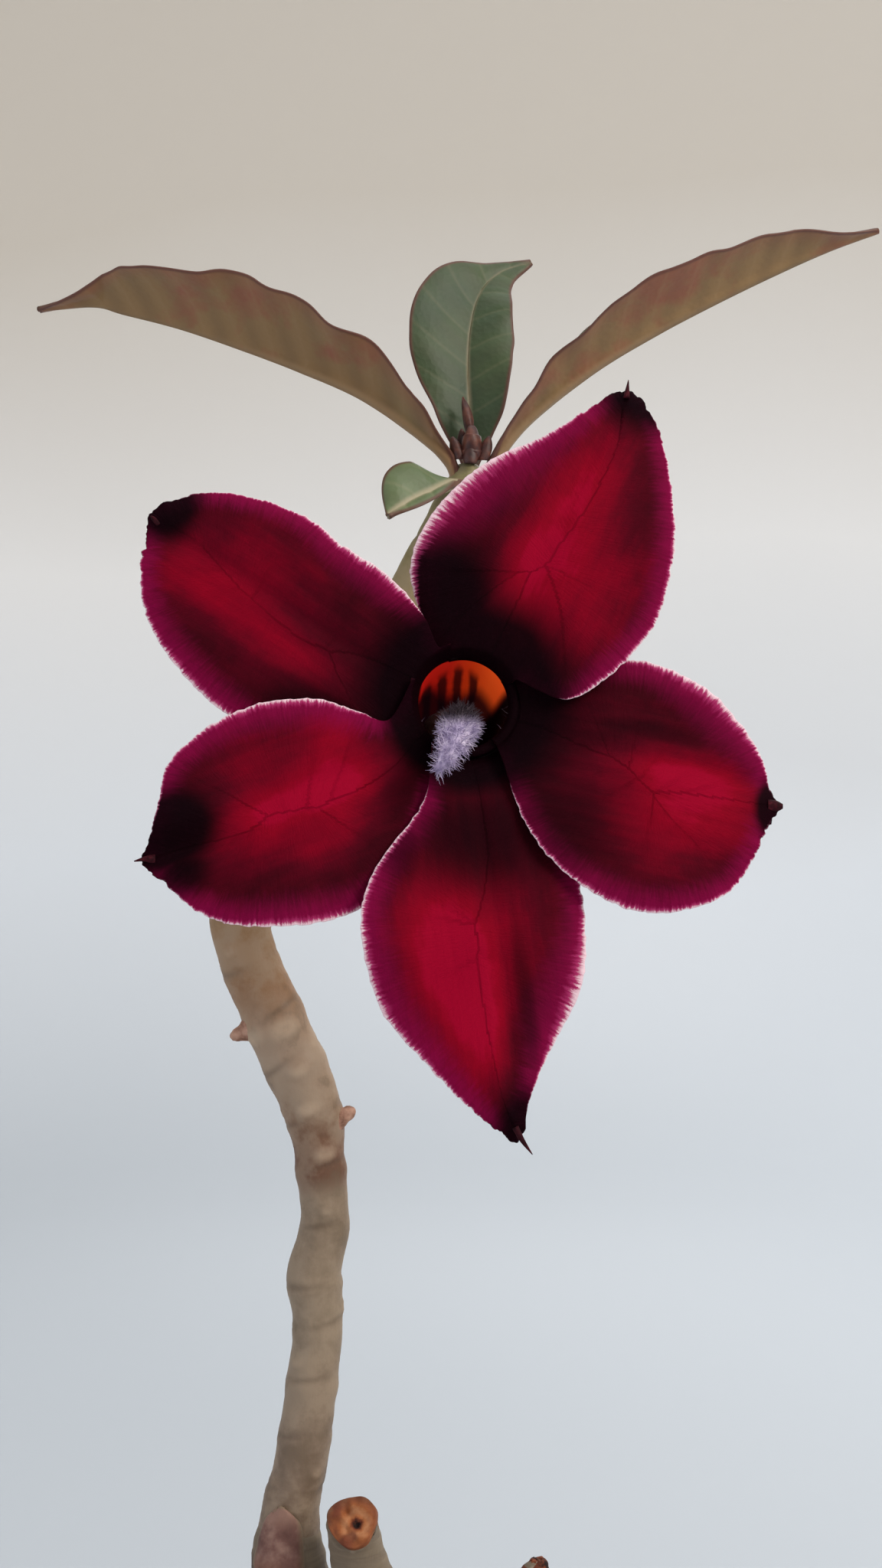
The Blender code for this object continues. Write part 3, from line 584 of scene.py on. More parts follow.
# The short arm ends in a dried, crumbled tip.
crumbled_path = path_of((((13.9, 0.0, 136.8), 1.9), ((14.4, 0.0, 138.4), 1.8), ((14.6, 0.0, 139.4), 1.4),
                         ((14.4, 0.0, 140.0), 0.8), ((14.4, 0.0, 140.2), 0.2)), 9)
crumbled = swept("crumbled_tip", crumbled_path, 40, lambda share, angle, centre: 0.45 * noise.noise(
    Vector((math.cos(angle), math.sin(angle), share * 4.0)) * 1.9) * share)
attribute(crumbled, "from_pith", [0.9 - 0.75 * min(1.0, max(0.0, (v.co.z * 1000.0 - 137.0) / 1.6))
                                  for v in crumbled.vertices])
stand_in(shown("crumbled_tip", crumbled, heartwood), "bark")

# The graft: a blunt flap of the rootstock's mauve bark, healed on to the front of the scion.
flap_skin, flap = blank("healed_graft_bark")
where = add(flap, "ShaderNodeTexCoord", out="Object")
tone = add(flap, "ShaderNodeTexNoise", {"Vector": where, "Scale": 330.0, "Detail": 5.0, "Roughness": 0.6})
colour = add(flap, "ShaderNodeValToRGB", {0: tone}, stops=((0.34, "#563730"), (0.5, "#6b4941"), (0.66, "#8b6b5f")))
height = add(flap, "ShaderNodeSeparateXYZ", {0: where}, "Z")
stain = add(flap, "ShaderNodeMapRange", {0: height, 1: 0.1425, 2: 0.1385}, interpolation_type="SMOOTHSTEP")
spots = add(flap, "ShaderNodeMapRange", {0: tone, 1: 0.42, 2: 0.58}, interpolation_type="SMOOTHSTEP")
stain = add(flap, "ShaderNodeMath", {0: stain, 1: spots}, operation="MULTIPLY")
# The top is pinker: partly the bark's own pink and partly a painted highlight.
pink_top_and_highlight = add(flap, "ShaderNodeMapRange", {0: height, 1: 0.1445, 2: 0.1470, 4: 0.7}, interpolation_type="SMOOTHSTEP")
colour = add(flap, "ShaderNodeMix", {0: pink_top_and_highlight, 6: colour, 7: "#937264"}, 2, data_type="RGBA")
colour = add(flap, "ShaderNodeMix", {0: stain, 6: colour, 7: "#6d3c22"}, 2, data_type="RGBA")
# It thins away to the stem's own colour at its edge.
inward = add(flap, "ShaderNodeAttribute", out="Fac", attribute_name="inward")
healed = add(flap, "ShaderNodeMapRange", {0: inward, 1: 0.9, 2: 0.1, 4: 0.85}, interpolation_type="SMOOTHSTEP")
colour = add(flap, "ShaderNodeMix", {0: healed, 6: colour, 7: "#796853"}, 2, data_type="RGBA")
add(flap, "ShaderNodeOutputMaterial", {0: add(flap, "ShaderNodeBsdfPrincipled", {
    "Base Color": colour, "Roughness": 0.66, "Specular IOR Level": 0.35,
    "Normal": add(flap, "ShaderNodeBump", {"Height": tone, "Distance": 0.0002})})}, None)


def blade(name, grid, thick, upper, **marks):
    """A thin closed body about a grid of points, in mm; `upper` points out of its upper side."""
    rows, cols = grid.shape[:2]
    normal = np.cross(np.gradient(grid, axis=0), np.gradient(grid, axis=1))
    normal /= np.maximum(np.linalg.norm(normal, axis=2), 1e-9)[:, :, None]
    if (normal * np.array(upper)).sum() < 0.0:
        normal = -normal
    half = normal * np.asarray(thick)[:, :, None] * 0.5
    verts = np.concatenate([(grid + half).reshape(-1, 3), (grid - half).reshape(-1, 3)]) * 0.001
    at = np.arange(rows * cols).reshape(rows, cols)
    quads = np.stack([at[:-1, :-1], at[1:, :-1], at[1:, 1:], at[:-1, 1:]], axis=-1).reshape(-1, 4)
    round_it = np.concatenate([at[:, 0], at[-1, 1:], at[-2::-1, -1], at[0, -2:0:-1]])
    after = np.roll(round_it, -1)
    wall = np.stack([round_it, after, after + rows * cols, round_it + rows * cols], axis=-1)
    faces = np.concatenate([quads, quads[:, ::-1] + rows * cols, wall])
    mesh = bpy.data.meshes.new(name)
    mesh.from_pydata(verts.tolist(), [], faces.tolist())
    close_up(mesh)
    for label, values in marks.items():
        attribute(mesh, label, np.concatenate([values.reshape(rows * cols, -1)] * 2).squeeze())
    attribute(mesh, "underside", np.repeat((0.0, 1.0), rows * cols))
    return mesh


# The flap as (height, half width, radius that it lies at), bottom to top.
rows = []
for z, half, trunk in through(((135.8, 3.2, 4.0), (137.2, 3.4, 4.65), (139.0, 3.4, 4.55), (141.0, 3.3, 4.3),
                               (144.0, 2.9, 3.85), (146.2, 2.3, 3.55), (147.2, 1.5, 3.45), (147.7, 0.6, 3.4)), 8):
    stem_x = float(np.interp(z, (134.0, 140.5, 144.5, 147.1), (-13.4, -14.9, -14.8, -14.5)))
    rows.append([])
    for s in np.linspace(-1.0, 1.0, 31):
        a = s * half / trunk - 0.26
        r = trunk + 0.12 + 0.15 * noise.noise(Vector((s * 2.0, z * 0.5, 4.0))) + 0.30 * (1.0 - s ** 4)
        rows[-1].append((stem_x + r * math.sin(a), -r * math.cos(a), z - 1.0 * s * s * max(0.0, z - 141.0) / 6.0))
rows = np.array(rows)
body_thick = 0.2 + 0.5 * np.cos(np.linspace(-1.5, 1.5, 31))[None, :] * np.linspace(1.0, 0.5, len(rows))[:, None]
inward = (1.0 - np.abs(np.linspace(-1.0, 1.0, 31)))[None, :] * 3.0
inward = np.minimum(inward, np.linspace(8.0, 0.0, len(rows))[:, None])
flap_mesh = blade("graft_flap", rows, body_thick, (0.0, -1.0, 0.0), inward=inward)
stand_in(shown("graft_flap", flap_mesh, flap_skin), "bark")

# ---------------------------------------------------------------- The scion
# The grafted stem: young wood six millimetres thick, olive-brown and satin smooth, with a ring and a
# swelling where each leaf stood, pale blisters over old leaf scars whose paleness is partly a painted highlight, and
# two dried bud knobs.
STEM = (((-15.0, 0.0, 139.0), 4.0), ((-14.8, 0.0, 143.5), 3.7), ((-14.5, 0.0, 147.1), 3.35),
        ((-13.5, 0.0, 151.0), 3.15), ((-12.3, 0.0, 159.4), 3.05), ((-11.4, 0.0, 167.6), 2.9),
        ((-11.8, 0.0, 174.0), 3.15), ((-10.6, 0.0, 179.7), 2.85), ((-11.1, 0.0, 186.7), 2.9),
        ((-12.0, 0.0, 193.5), 3.15), ((-14.8, 0.0, 200.2), 3.25), ((-17.2, 0.0, 205.8), 3.2),
        ((-19.6, 0.2, 211.2), 3.1), ((-20.6, 0.5, 217.0), 3.1), ((-18.9, 0.8, 224.6), 3.1),
        ((-14.6, 0.9, 232.4), 3.1), ((-9.4, 0.8, 239.8), 3.1), ((-4.5, 0.5, 246.8), 3.05),
        ((-0.6, 0.2, 253.8), 3.0), ((2.9, 0.0, 260.4), 2.8), ((5.2, 0.0, 265.2), 2.6), ((6.1, 0.0, 267.6), 2.2),
        ((6.5, 0.0, 269.4), 1.5), ((6.6, 0.0, 270.2), 0.3))
# Rings left by fallen leaves, by height, with how far each swells.
NODES = ((149.0, 0.05), (155.5, 0.10), (162.0, 0.14), (168.2, 0.10), (173.6, 0.22), (180.4, 0.12), (187.0, 0.22),
         (193.0, 0.22), (199.6, 0.24), (205.2, 0.20), (211.0, 0.12), (216.8, 0.16), (223.5, 0.14), (231.0, 0.16),
         (238.6, 0.14), (246.0, 0.16), (253.0, 0.16), (259.5, 0.14), (264.5, 0.10))
# Leaf scars as (height, turn from the front in degrees, half width, rise), in mm.
SCARS = [(151.5 + 6.1 * k, (137.5 * k + 40.0) % 360.0, 1.1, 0.28) for k in range(18)]
SCARS += [(188.6, 15.0, 1.5, 0.42), (194.0, -5.0, 1.3, 0.5), (198.2, 10.0, 1.2, 0.4), (203.0, 15.0, 1.8, 0.55),
          (203.4, -45.0, 1.7, 0.5)]
stem_path, STEM_AROUND = path_of(STEM, 26), 72


def stem_swell(share, angle, centre):
    """Rings, leaf scars and slow unevenness in the stem's radius."""
    x, y, z = centre
    rise = 0.0
    for at, swells in NODES:
        gap = z - at
        if abs(gap) < 4.0:
            # A fine groove, with the collar just below it standing proud.
            tilt = 0.7 * math.sin(angle + at)
            partial = 0.5 + 0.5 * math.sin(2.0 * angle + at * 1.7)
            groove = 0.08 * partial * math.exp(-((gap - tilt) / 0.3) ** 2)
            rise += swells * math.exp(-((gap + 0.9) / 1.3) ** 2) - groove
    turn = math.degrees(angle)
    for at, face, half, high in SCARS:
        gap = z - at
        if abs(gap) < 3.0:
            off = (turn - face - 90.0 + 180.0) % 360.0 - 180.0
            off = math.radians(off) * 3.0
            d = (off / half) ** 2 + (gap / (half * 0.75)) ** 2
            rise += high * math.exp(-d) - high * 0.45 * math.exp(-d / 0.12)
    # Fuller behind the flower, where two old buds swelled it.
    rise += 0.4 * min(1.0, max(0.0, (z - 189.0) / 7.0)) * min(1.0, max(0.0, (236.0 - z) / 10.0))
    rise += 0.10 * noise.noise(Vector((x + 3.0 * math.cos(angle), y + 3.0 * math.sin(angle), z)) * 0.45)
    rise += 0.03 * noise.noise(Vector((3.0 * math.cos(angle), 3.0 * math.sin(angle), z * 3.0)) * 1.6)
    return rise


stem_mesh = swept("scion_bark", stem_path, STEM_AROUND, stem_swell)
turns = np.tile(np.arange(STEM_AROUND) / STEM_AROUND * 360.0, len(stem_path))
heights = np.repeat(stem_path[:, 2], STEM_AROUND)
scarred = np.zeros(len(turns))
for at, face, half, high in SCARS:
    off = np.radians((turns - face - 90.0 + 180.0) % 360.0 - 180.0) * 3.0
    scarred = np.maximum(scarred, high * 2.0 * np.exp(-((off / half) ** 2 + ((heights - at) / (half * 0.75)) ** 2)))
groove_painted_shade = np.zeros(len(turns))
for at, swells in NODES:
    turn = np.radians(turns)
    partial = 0.5 + 0.5 * np.sin(2.0 * turn + at * 1.7)
    groove_painted_shade = np.maximum(groove_painted_shade, partial * np.exp(-((heights - at - 0.7 * np.sin(turn + at)) / 0.4) ** 2))
attribute(stem_mesh, "scar", np.append(scarred, (0.0, 0.0)))
attribute(stem_mesh, "groove", np.append(groove_painted_shade, (0.0, 0.0)))

# Young bark looks satin and thin: browner with age down the stem, bleached over scars with a painted highlight there,
# and dark in the rings, deepened with painted shade in their grooves.
young_bark, stem = blank("young_stem_bark")
where = add(stem, "ShaderNodeTexCoord", out="Object")
height = add(stem, "ShaderNodeSeparateXYZ", {0: where}, "Z")
mottle = add(stem, "ShaderNodeTexNoise", {"Vector": where, "Scale": 210.0, "Detail": 6.0, "Roughness": 0.6})
off = add(stem, "ShaderNodeMapRange", {0: mottle, 3: -0.003, 4: 0.003})
rise = add(stem, "ShaderNodeMath", {0: height, 1: off}, operation="ADD")
up_the_stem = add(stem, "ShaderNodeMapRange", {0: rise, 1: 0.140, 2: 0.270})
aged = add(stem, "ShaderNodeValToRGB", {0: up_the_stem}, stops=(
    (0.0, "#685545"), (0.10, "#776453"), (0.22, "#84735f"), (0.335, "#7e6b57"), (0.352, "#65432f"),
    (0.385, "#6f4c35"), (0.42, "#937c66"), (0.47, "#9e8670"), (0.52, "#8c6849"), (0.60, "#937553"),
    (0.80, "#857348"), (1.0, "#7f7a52")))
bleached = add(stem, "ShaderNodeMapRange", {0: mottle, 1: 0.42, 2: 0.60, 4: 0.35}, interpolation_type="SMOOTHSTEP")
aged = add(stem, "ShaderNodeMix", {0: bleached, 6: aged, 7: "#a8957f"}, 2, data_type="RGBA")
stained = add(stem, "ShaderNodeMapRange", {0: mottle, 1: 0.46, 2: 0.34, 4: 0.4}, interpolation_type="SMOOTHSTEP")
aged = add(stem, "ShaderNodeMix", {0: stained, 6: aged, 7: "#5f4f3b"}, 2, data_type="RGBA")
# Ring lines: dark colour in the grooves, partly the ring's own colour and partly painted shade.
groove = add(stem, "ShaderNodeAttribute", out="Fac", attribute_name="groove")
groove = add(stem, "ShaderNodeMapRange", {0: groove, 4: 0.45})
aged = add(stem, "ShaderNodeMix", {0: groove, 6: aged, 7: "#4f3d2d"}, 2, data_type="RGBA")
# Scars: pale colour, partly bleached bark and partly a painted highlight.
scar = add(stem, "ShaderNodeAttribute", out="Fac", attribute_name="scar")
scar = add(stem, "ShaderNodeMapRange", {0: scar, 1: 0.2, 2: 1.0, 4: 0.5}, interpolation_type="SMOOTHSTEP")
aged = add(stem, "ShaderNodeMix", {0: scar, 6: aged, 7: "#c4ac92"}, 2, data_type="RGBA")
tall = add(stem, "ShaderNodeMapping", {"Vector": where, "Scale": (1500.0, 1500.0, 260.0)})
grain = add(stem, "ShaderNodeTexNoise", {"Vector": tall, "Scale": 1.0, "Detail": 3.0})
feel = add(stem, "ShaderNodeBump", {"Height": grain, "Distance": 0.00005})
feel = add(stem, "ShaderNodeBump", {"Height": mottle, "Distance": 0.00014, "Normal": feel})
add(stem, "ShaderNodeOutputMaterial", {0: add(stem, "ShaderNodeBsdfPrincipled", {
    "Base Color": aged, "Roughness": 0.55, "Specular IOR Level": 0.4, "Normal": feel})}, None)
stand_in(shown("scion_bark", stem_mesh, young_bark), "stem_bark", "scion_stem")

# Dried bud knobs on the stem: corky, dull husks, mottled pink-brown.
bud_husk, husk = blank("dried_bud_husk")
where = add(husk, "ShaderNodeTexCoord", out="Object")
cloud = add(husk, "ShaderNodeTexNoise", {"Vector": where, "Scale": 900.0, "Detail": 4.0})
colour = add(husk, "ShaderNodeValToRGB", {0: cloud}, stops=((0.3, "#6b4636"), (0.5, "#a47c68"), (0.7, "#bc9580")))
add(husk, "ShaderNodeOutputMaterial", {0: add(husk, "ShaderNodeBsdfPrincipled", {
    "Base Color": colour, "Roughness": 0.7, "Specular IOR Level": 0.3,
    "Normal": add(husk, "ShaderNodeBump", {"Height": cloud, "Distance": 0.00025})})}, None)
for name, knob in (("knob_low", (((-10.6, -0.6, 191.6), 1.7), ((-9.3, -0.8, 192.2), 1.4), ((-8.2, -0.9, 192.9), 0.95),
                                 ((-7.4, -0.9, 193.4), 0.75), ((-7.0, -0.9, 193.7), 0.2))),
                   ("knob_high", (((-17.2, -0.8, 203.4), 2.6), ((-18.9, -1.0, 203.2), 1.9),
                                  ((-20.3, -1.0, 202.6), 1.0), ((-21.2, -1.0, 202.3), 0.7),
                                  ((-21.7, -1.0, 202.2), 0.2)))):
    mesh = swept(name, path_of(knob, 5), 28, lambda share, angle, centre: 0.10 * noise.noise(
        Vector((math.cos(angle), math.sin(angle), share * 6.0)) * 1.7))
    stand_in(shown(name, mesh, bud_husk), "stem_bark")

# ---------------------------------------------------------------- The leaves
# Thick, leathery leaves in a tuft at the stem's tip. Each is folded along a raised midrib; its margin is
# thin and dark red, and slanting side veins reach it. The undersides have flushed brown in strong light.
# Each leaf, in mm: its midrib; its half widths on the near and the far side; which way its upper side
# faces; and how far each half folds up, in degrees.
VEIN_GAP, VEIN_SLANT = 4.2, 0.55
LEAVES = {
    "leaf_left": (
        ((5.6, -0.4, 267.4), (4.6, -0.8, 270.0), (1.6, -2.2, 272.8), (-5.6, -3.6, 277.5), (-13.0, -4.4, 280.6),
         (-20.0, -4.8, 283.1), (-27.0, -4.8, 285.4), (-33.6, -4.4, 287.1), (-37.2, -4.1, 288.0),
         (-43.8, -3.4, 287.6)),
        (0.8, 0.9, 2.2, 6.4, 8.7, 9.3, 8.9, 7.4, 3.2, 0.4), (0.8, 0.9, 2.2, 5.8, 8.4, 9.0, 8.6, 7.0, 3.0, 0.4),
        (0.1, -0.05, 1.0), 52, 46),
    "leaf_right": (
        ((7.2, -0.1, 267.4), (8.8, -0.3, 269.8), (12.9, -1.6, 274.8), (20.5, -3.6, 280.5), (27.9, -4.2, 284.8),
         (35.4, -4.4, 288.6), (42.8, -4.2, 292.1), (48.6, -4.0, 294.6), (54.2, -3.8, 296.6)),
        (0.7, 0.7, 2.2, 5.2, 7.5, 7.0, 5.2, 2.9, 0.4), (0.7, 0.7, 3.2, 6.4, 7.8, 7.2, 5.2, 3.0, 0.4),
        (-0.3, -0.05, 1.0), 52, 50),
    "leaf_upright": (
        ((6.3, 1.0, 266.6), (6.7, 2.8, 270.0), (6.6, 4.6, 277.0), (6.5, 6.6, 285.0), (7.6, 9.2, 291.4),
         (10.2, 11.6, 295.2), (14.4, 13.6, 297.2)),
        (0.9, 1.0, 4.2, 5.7, 4.6, 2.6, 0.4), (0.9, 1.0, 4.8, 7.6, 6.6, 2.0, 0.4), (0.1, -1.0, 0.35), 20, 20),
    "leaf_small": (
        ((5.9, -1.4, 267.6), (4.7, -3.5, 267.3), (2.3, -5.4, 266.0), (-0.4, -7.6, 264.4), (-2.8, -9.4, 262.5)),
        (0.6, 0.6, 1.6, 1.8, 0.4), (0.6, 0.9, 4.4, 4.3, 0.4), (0.1, -0.3, 1.0), -20, 58),
}


def leaf_body(name, midrib, near, far, opens, near_fold, far_fold, seed, wave, tip_curl):
    """A blade folded along its midrib, in mm: the rib swells below, the veins lift a little, the margin waves."""
    path = through([(*p, a, b) for p, a, b in zip(midrib, near, far)], 16 if name != "leaf_small" else 24)
    places = [Vector(s[:3]) for s in path]
    length = np.concatenate([[0.0], np.cumsum([(b - a).length for a, b in zip(places, places[1:])])])
    opens, steps = Vector(opens), 28
    before = Vector((0.0, -1.0, 0.0)) if near_fold != far_fold else Vector((1.0, 0.0, 0.0))
    grid = np.zeros((len(path), 2 * steps + 1, 3))
    thick, flat = np.zeros(grid.shape[:2]), np.zeros(grid.shape)
    for i, station in enumerate(path):
        ahead = (places[min(i + 1, len(path) - 1)] - places[max(i - 1, 0)]).normalized()
        side = ahead.cross(opens).normalized()
        side = -side if side.dot(before) < 0.0 else side
        before = side
        rise = side.cross(ahead).normalized()
        rise = -rise if rise.dot(opens) < 0.0 else rise
        share = length[i] / length[-1]
        for j in range(-steps, steps + 1):
            s = abs(j) / steps
            width = station[3] if j > 0 else station[4]
            # A slightly uneven outline, a thumbnail-wide wave along the margin.
            width *= 1.0 + 0.035 * noise.noise(Vector((length[i] * 0.35, seed + (j > 0), 0.0))) * s
            fold = math.radians(near_fold if j > 0 else far_fold)
            out = side if j > 0 else -side
            bend = fold * (1.0 - 0.25 * s) * min(1.0, width / 4.5)
            at = places[i] + (out * math.cos(bend) + rise * math.sin(bend)) * (width * s)
            across = width * s
            # Side veins leave the rib at even gaps and slant towards the tip.
            vein = (length[i] - across * VEIN_SLANT) / VEIN_GAP + (0.5 if j > 0 else 0.0)
            vein = abs(vein - round(vein)) * VEIN_GAP
            hollow = 0.10 * (1.0 - math.exp(-(vein / 0.5) ** 2)) * math.sin(math.pi * min(1.0, s * 1.05))
            ripple = wave * s * s * min(1.0, width / 4.0) * noise.noise(
                Vector((length[i] * 0.16, seed * 3.1 + (j > 0) * 7, s)))
            rib = (0.85 * (1.0 - share) + 0.22) * math.exp(-(across / (0.75 - 0.35 * share)) ** 2)
            lift = ripple + hollow - rib * 0.42 - tip_curl * max(0.0, share - 0.88) ** 2 * 60.0 * s
            grid[i, j + steps] = at + rise * lift
            thick[i, j + steps] = 0.16 + 0.34 * (1.0 - s ** 5) + rib * 0.75
            flat[i, j + steps] = (length[i], across * (1 if j > 0 else -1), width - across)
    return blade(name, grid, thick, opens, flat=flat)


def leaf_finish(name, upper, upper_shade, under, under_flush, rib_colour, vein_share, gloss):
    """Waxy leaf skin: a fine-pored cuticle, paler veins, blotches of flush, and a thin dark red margin."""
    material, tree = blank(name)
    where = add(tree, "ShaderNodeTexCoord", out="Object")
    flat = add(tree, "ShaderNodeAttribute", out="Vector", attribute_name="flat")
    along = add(tree, "ShaderNodeSeparateXYZ", {0: flat}, "X")
    over = add(tree, "ShaderNodeSeparateXYZ", {0: flat}, "Y")
    across = add(tree, "ShaderNodeMath", {0: over}, operation="ABSOLUTE")
    sided = add(tree, "ShaderNodeMath", {0: over, 1: 0.0}, operation="GREATER_THAN")
    from_edge = add(tree, "ShaderNodeSeparateXYZ", {0: flat}, "Z")
    blotch = add(tree, "ShaderNodeTexNoise", {"Vector": where, "Scale": 130.0, "Detail": 5.0, "Roughness": 0.55})
    cells = add(tree, "ShaderNodeTexVoronoi", {"Vector": where, "Scale": 1500.0})
    below = add(tree, "ShaderNodeAttribute", out="Fac", attribute_name="underside")
    top = add(tree, "ShaderNodeValToRGB", {0: blotch}, stops=((0.35, upper_shade), (0.65, upper)))
    back = add(tree, "ShaderNodeValToRGB", {0: blotch}, stops=((0.36, under_flush), (0.5, under), (0.66, under)))
    # Greener near the stalk, redder towards the thin margin.
    greener = add(tree, "ShaderNodeMapRange", {0: along, 1: 17.0, 2: 4.0, 4: 0.6}, interpolation_type="SMOOTHSTEP")
    back = add(tree, "ShaderNodeMix", {0: greener, 6: back, 7: "#77734d"}, 2, data_type="RGBA")
    redder = add(tree, "ShaderNodeMapRange", {0: from_edge, 1: 3.2, 2: 0.2, 4: 0.5}, interpolation_type="SMOOTHSTEP")
    back = add(tree, "ShaderNodeMix", {0: redder, 6: back, 7: under_flush}, 2, data_type="RGBA")
    skin = add(tree, "ShaderNodeMix", {0: below, 6: top, 7: back}, 2, data_type="RGBA")
    # The side veins, where the mesh has lifted them.
    slant = add(tree, "ShaderNodeMath", {0: across, 1: -VEIN_SLANT, 2: along}, operation="MULTIPLY_ADD")
    slant = add(tree, "ShaderNodeMath", {0: sided, 1: VEIN_GAP / 2.0, 2: slant}, operation="MULTIPLY_ADD")
    line = add(tree, "ShaderNodeMath", {0: slant, 1: VEIN_GAP / 2.0}, operation="PINGPONG")
    between = add(tree, "ShaderNodeMapRange", {0: line, 1: 0.3, 2: 2.0, 4: 0.3}, interpolation_type="SMOOTHSTEP")
    between = add(tree, "ShaderNodeMath", {0: between, 1: blotch}, operation="MULTIPLY")
    skin = add(tree, "ShaderNodeMix", {0: between, 6: skin, 7: "#33271c"}, 2, data_type="RGBA")
    line = add(tree, "ShaderNodeMapRange", {0: line, 1: 0.42, 2: 0.0, 4: vein_share}, interpolation_type="SMOOTHSTEP")
    skin = add(tree, "ShaderNodeMix", {0: line, 6: skin, 7: rib_colour}, 2, data_type="RGBA")
    narrowing = add(tree, "ShaderNodeMath", {0: along, 1: 0.016, 2: across}, operation="MULTIPLY_ADD")
    rib = add(tree, "ShaderNodeMapRange", {0: narrowing, 1: 0.95, 2: 0.40, 4: 0.85}, interpolation_type="SMOOTHSTEP")
    skin = add(tree, "ShaderNodeMix", {0: rib, 6: skin, 7: rib_colour}, 2, data_type="RGBA")
    rim = add(tree, "ShaderNodeMapRange", {0: from_edge, 1: 0.55, 2: 0.1, 4: 0.85}, interpolation_type="SMOOTHSTEP")
    skin = add(tree, "ShaderNodeMix", {0: rim, 6: skin, 7: "#5c3129"}, 2, data_type="RGBA")
    feel = add(tree, "ShaderNodeBump", {"Height": cells, "Distance": 0.00004})
    feel = add(tree, "ShaderNodeBump", {"Height": blotch, "Distance": 0.0002, "Normal": feel})
    add(tree, "ShaderNodeOutputMaterial", {0: add(tree, "ShaderNodeBsdfPrincipled", {
        "Base Color": skin, "Roughness": gloss, "Specular IOR Level": 0.4, "Normal": feel,
        "Coat Weight": 0.08, "Coat Roughness": 0.35})}, None)
    return material


# Mature leaves have gone brown beneath; the upright one is shaded and green; the smallest is pale and soft.
mature_leaf = leaf_finish("waxy_mature_leaf", "#50613a", "#3f4f30", "#8a6c45", "#8c563c", "#9a7c57", 0.16, 0.5)
green_leaf = leaf_finish("waxy_green_leaf", "#3e4d2c", "#314429", "#6a6a4e", "#5f5c40", "#8f8268", 0.10, 0.55)
tender_leaf = leaf_finish("waxy_tender_leaf", "#66754f", "#5b6b49", "#74825c", "#6b7853", "#a79c80", 0.12, 0.5)
for name, seed, wave, curl, skin in (
        ("leaf_left", 1.7, 1.5, 0.5, mature_leaf), ("leaf_right", 5.2, 1.1, 0.0, mature_leaf),
        ("leaf_upright", 9.6, 0.9, 0.0, green_leaf), ("leaf_small", 13.1, 0.3, 0.0, tender_leaf)):
    stand_in(shown(name + "_blade", leaf_body(name, *LEAVES[name], seed, wave, curl), skin), "leaf", name)

# ---------------------------------------------------------------- The growing tip
# The stem's tip bud: a dark red-brown cone of tight scales, no bigger than a grain of rice, with one new
# leaf still rolled behind it, dark and shiny.
# Bud scales have a wax film, so they look dark and half glossy, streaked along their length.
bud_skin, bud = blank("waxy_bud_scale")
where = add(bud, "ShaderNodeTexCoord", out="Object")
streak = add(bud, "ShaderNodeTexNoise", {"Vector": where, "Scale": 700.0, "Detail": 4.0})
colour = add(bud, "ShaderNodeValToRGB", {0: streak}, stops=((0.32, "#2b1413"), (0.5, "#45201a"), (0.7, "#6b3a2a")))
add(bud, "ShaderNodeOutputMaterial", {0: add(bud, "ShaderNodeBsdfPrincipled", {
    "Base Color": colour, "Roughness": 0.5, "Specular IOR Level": 0.45,
    "Normal": add(bud, "ShaderNodeBump", {"Height": streak, "Distance": 0.0001})})}, None)


def bud_scales(share, angle, centre):
    """Three whorls of scales: each swells, then steps in under the next."""
    whorl = share * 3.2
    step = whorl - math.floor(whorl)
    return 0.16 * step * (1.0 + 0.5 * math.cos(3.0 * angle + 2.1 * math.floor(whorl))) - 0.08


bud_path = path_of((((6.7, -1.0, 269.9), 0.8), ((6.8, -1.3, 271.0), 1.2), ((6.8, -1.5, 272.4), 1.15),
                    ((6.8, -1.4, 273.6), 0.7), ((6.7, -1.3, 274.3), 0.15)), 18)
stand_in(shown("bud_cone", swept("bud_cone", bud_path, 40, bud_scales), bud_skin), "bud", "terminal_bud")
for k, (x, y, z, lean, high) in enumerate(((5.5, -1.9, 270.2, -0.35, 2.7), (8.0, -1.8, 270.1, 0.30, 2.9),
                                           (6.6, -2.8, 269.6, 0.05, 2.2), (6.0, -0.4, 270.4, -0.1, 3.6))):
    rows = []
    for i in range(13):
        t = i / 12.0
        half = 0.75 * math.sin(math.pi * min(1.0, 0.25 + 0.75 * t)) ** 0.8 + 0.03
        back = 0.5 * t * t * (1.0 if y < -1.0 else -0.4)
        rows.append([(x + lean * high * t + s * half, y + 0.5 * s * s * half + back, z + high * t)
                     for s in np.linspace(-1.0, 1.0, 9)])
    stand_in(shown(f"bud_scale_{k + 1}", blade(f"bud_scale_{k + 1}", np.array(rows), np.full((13, 9), 0.22),
                                               (0.0, -1.0, 0.0)), bud_skin), "bud")
rolled_path = path_of((((6.7, 0.8, 274.0), 0.5), ((6.5, 1.0, 275.4), 0.62), ((6.1, 1.4, 277.0), 0.45),
                       ((5.8, 1.7, 278.2), 0.1)), 12)
stand_in(shown("rolled_leaf", swept("rolled_leaf", rolled_path, 24, lambda share, angle, centre: 0.12 * math.cos(
    angle + 2.0 * share) ** 3), bud_skin), "leaf", "young_leaf")

# ---------------------------------------------------------------- The flower stalk, sepals and tube
# The stalk curves forward from the stem to a funnel-shaped tube, held by five narrow sepals. All are
# finely downy; the tube's outside is dull rose, and inside it is orange above with dark red guide lines, with a
# painted glow on that roof and painted shade below and deeper in.
FLOWER = Vector((5.6, -42.0, 237.9))
YAW, PITCH = math.radians(6.0), math.radians(13.0)
OUTWARD = Vector((math.sin(YAW) * math.cos(PITCH), -math.cos(YAW) * math.cos(PITCH), math.sin(PITCH)))
RIGHT = Vector((math.cos(YAW), math.sin(YAW), 0.0))
UP = OUTWARD.cross(RIGHT)
THROAT_UP, TUBE_DEPTH = 2.5, 27.0


def flower_point(across_right, up, out):
    """A place given in the flower's own directions, in mm."""
    return FLOWER + RIGHT * across_right + UP * up + OUTWARD * out


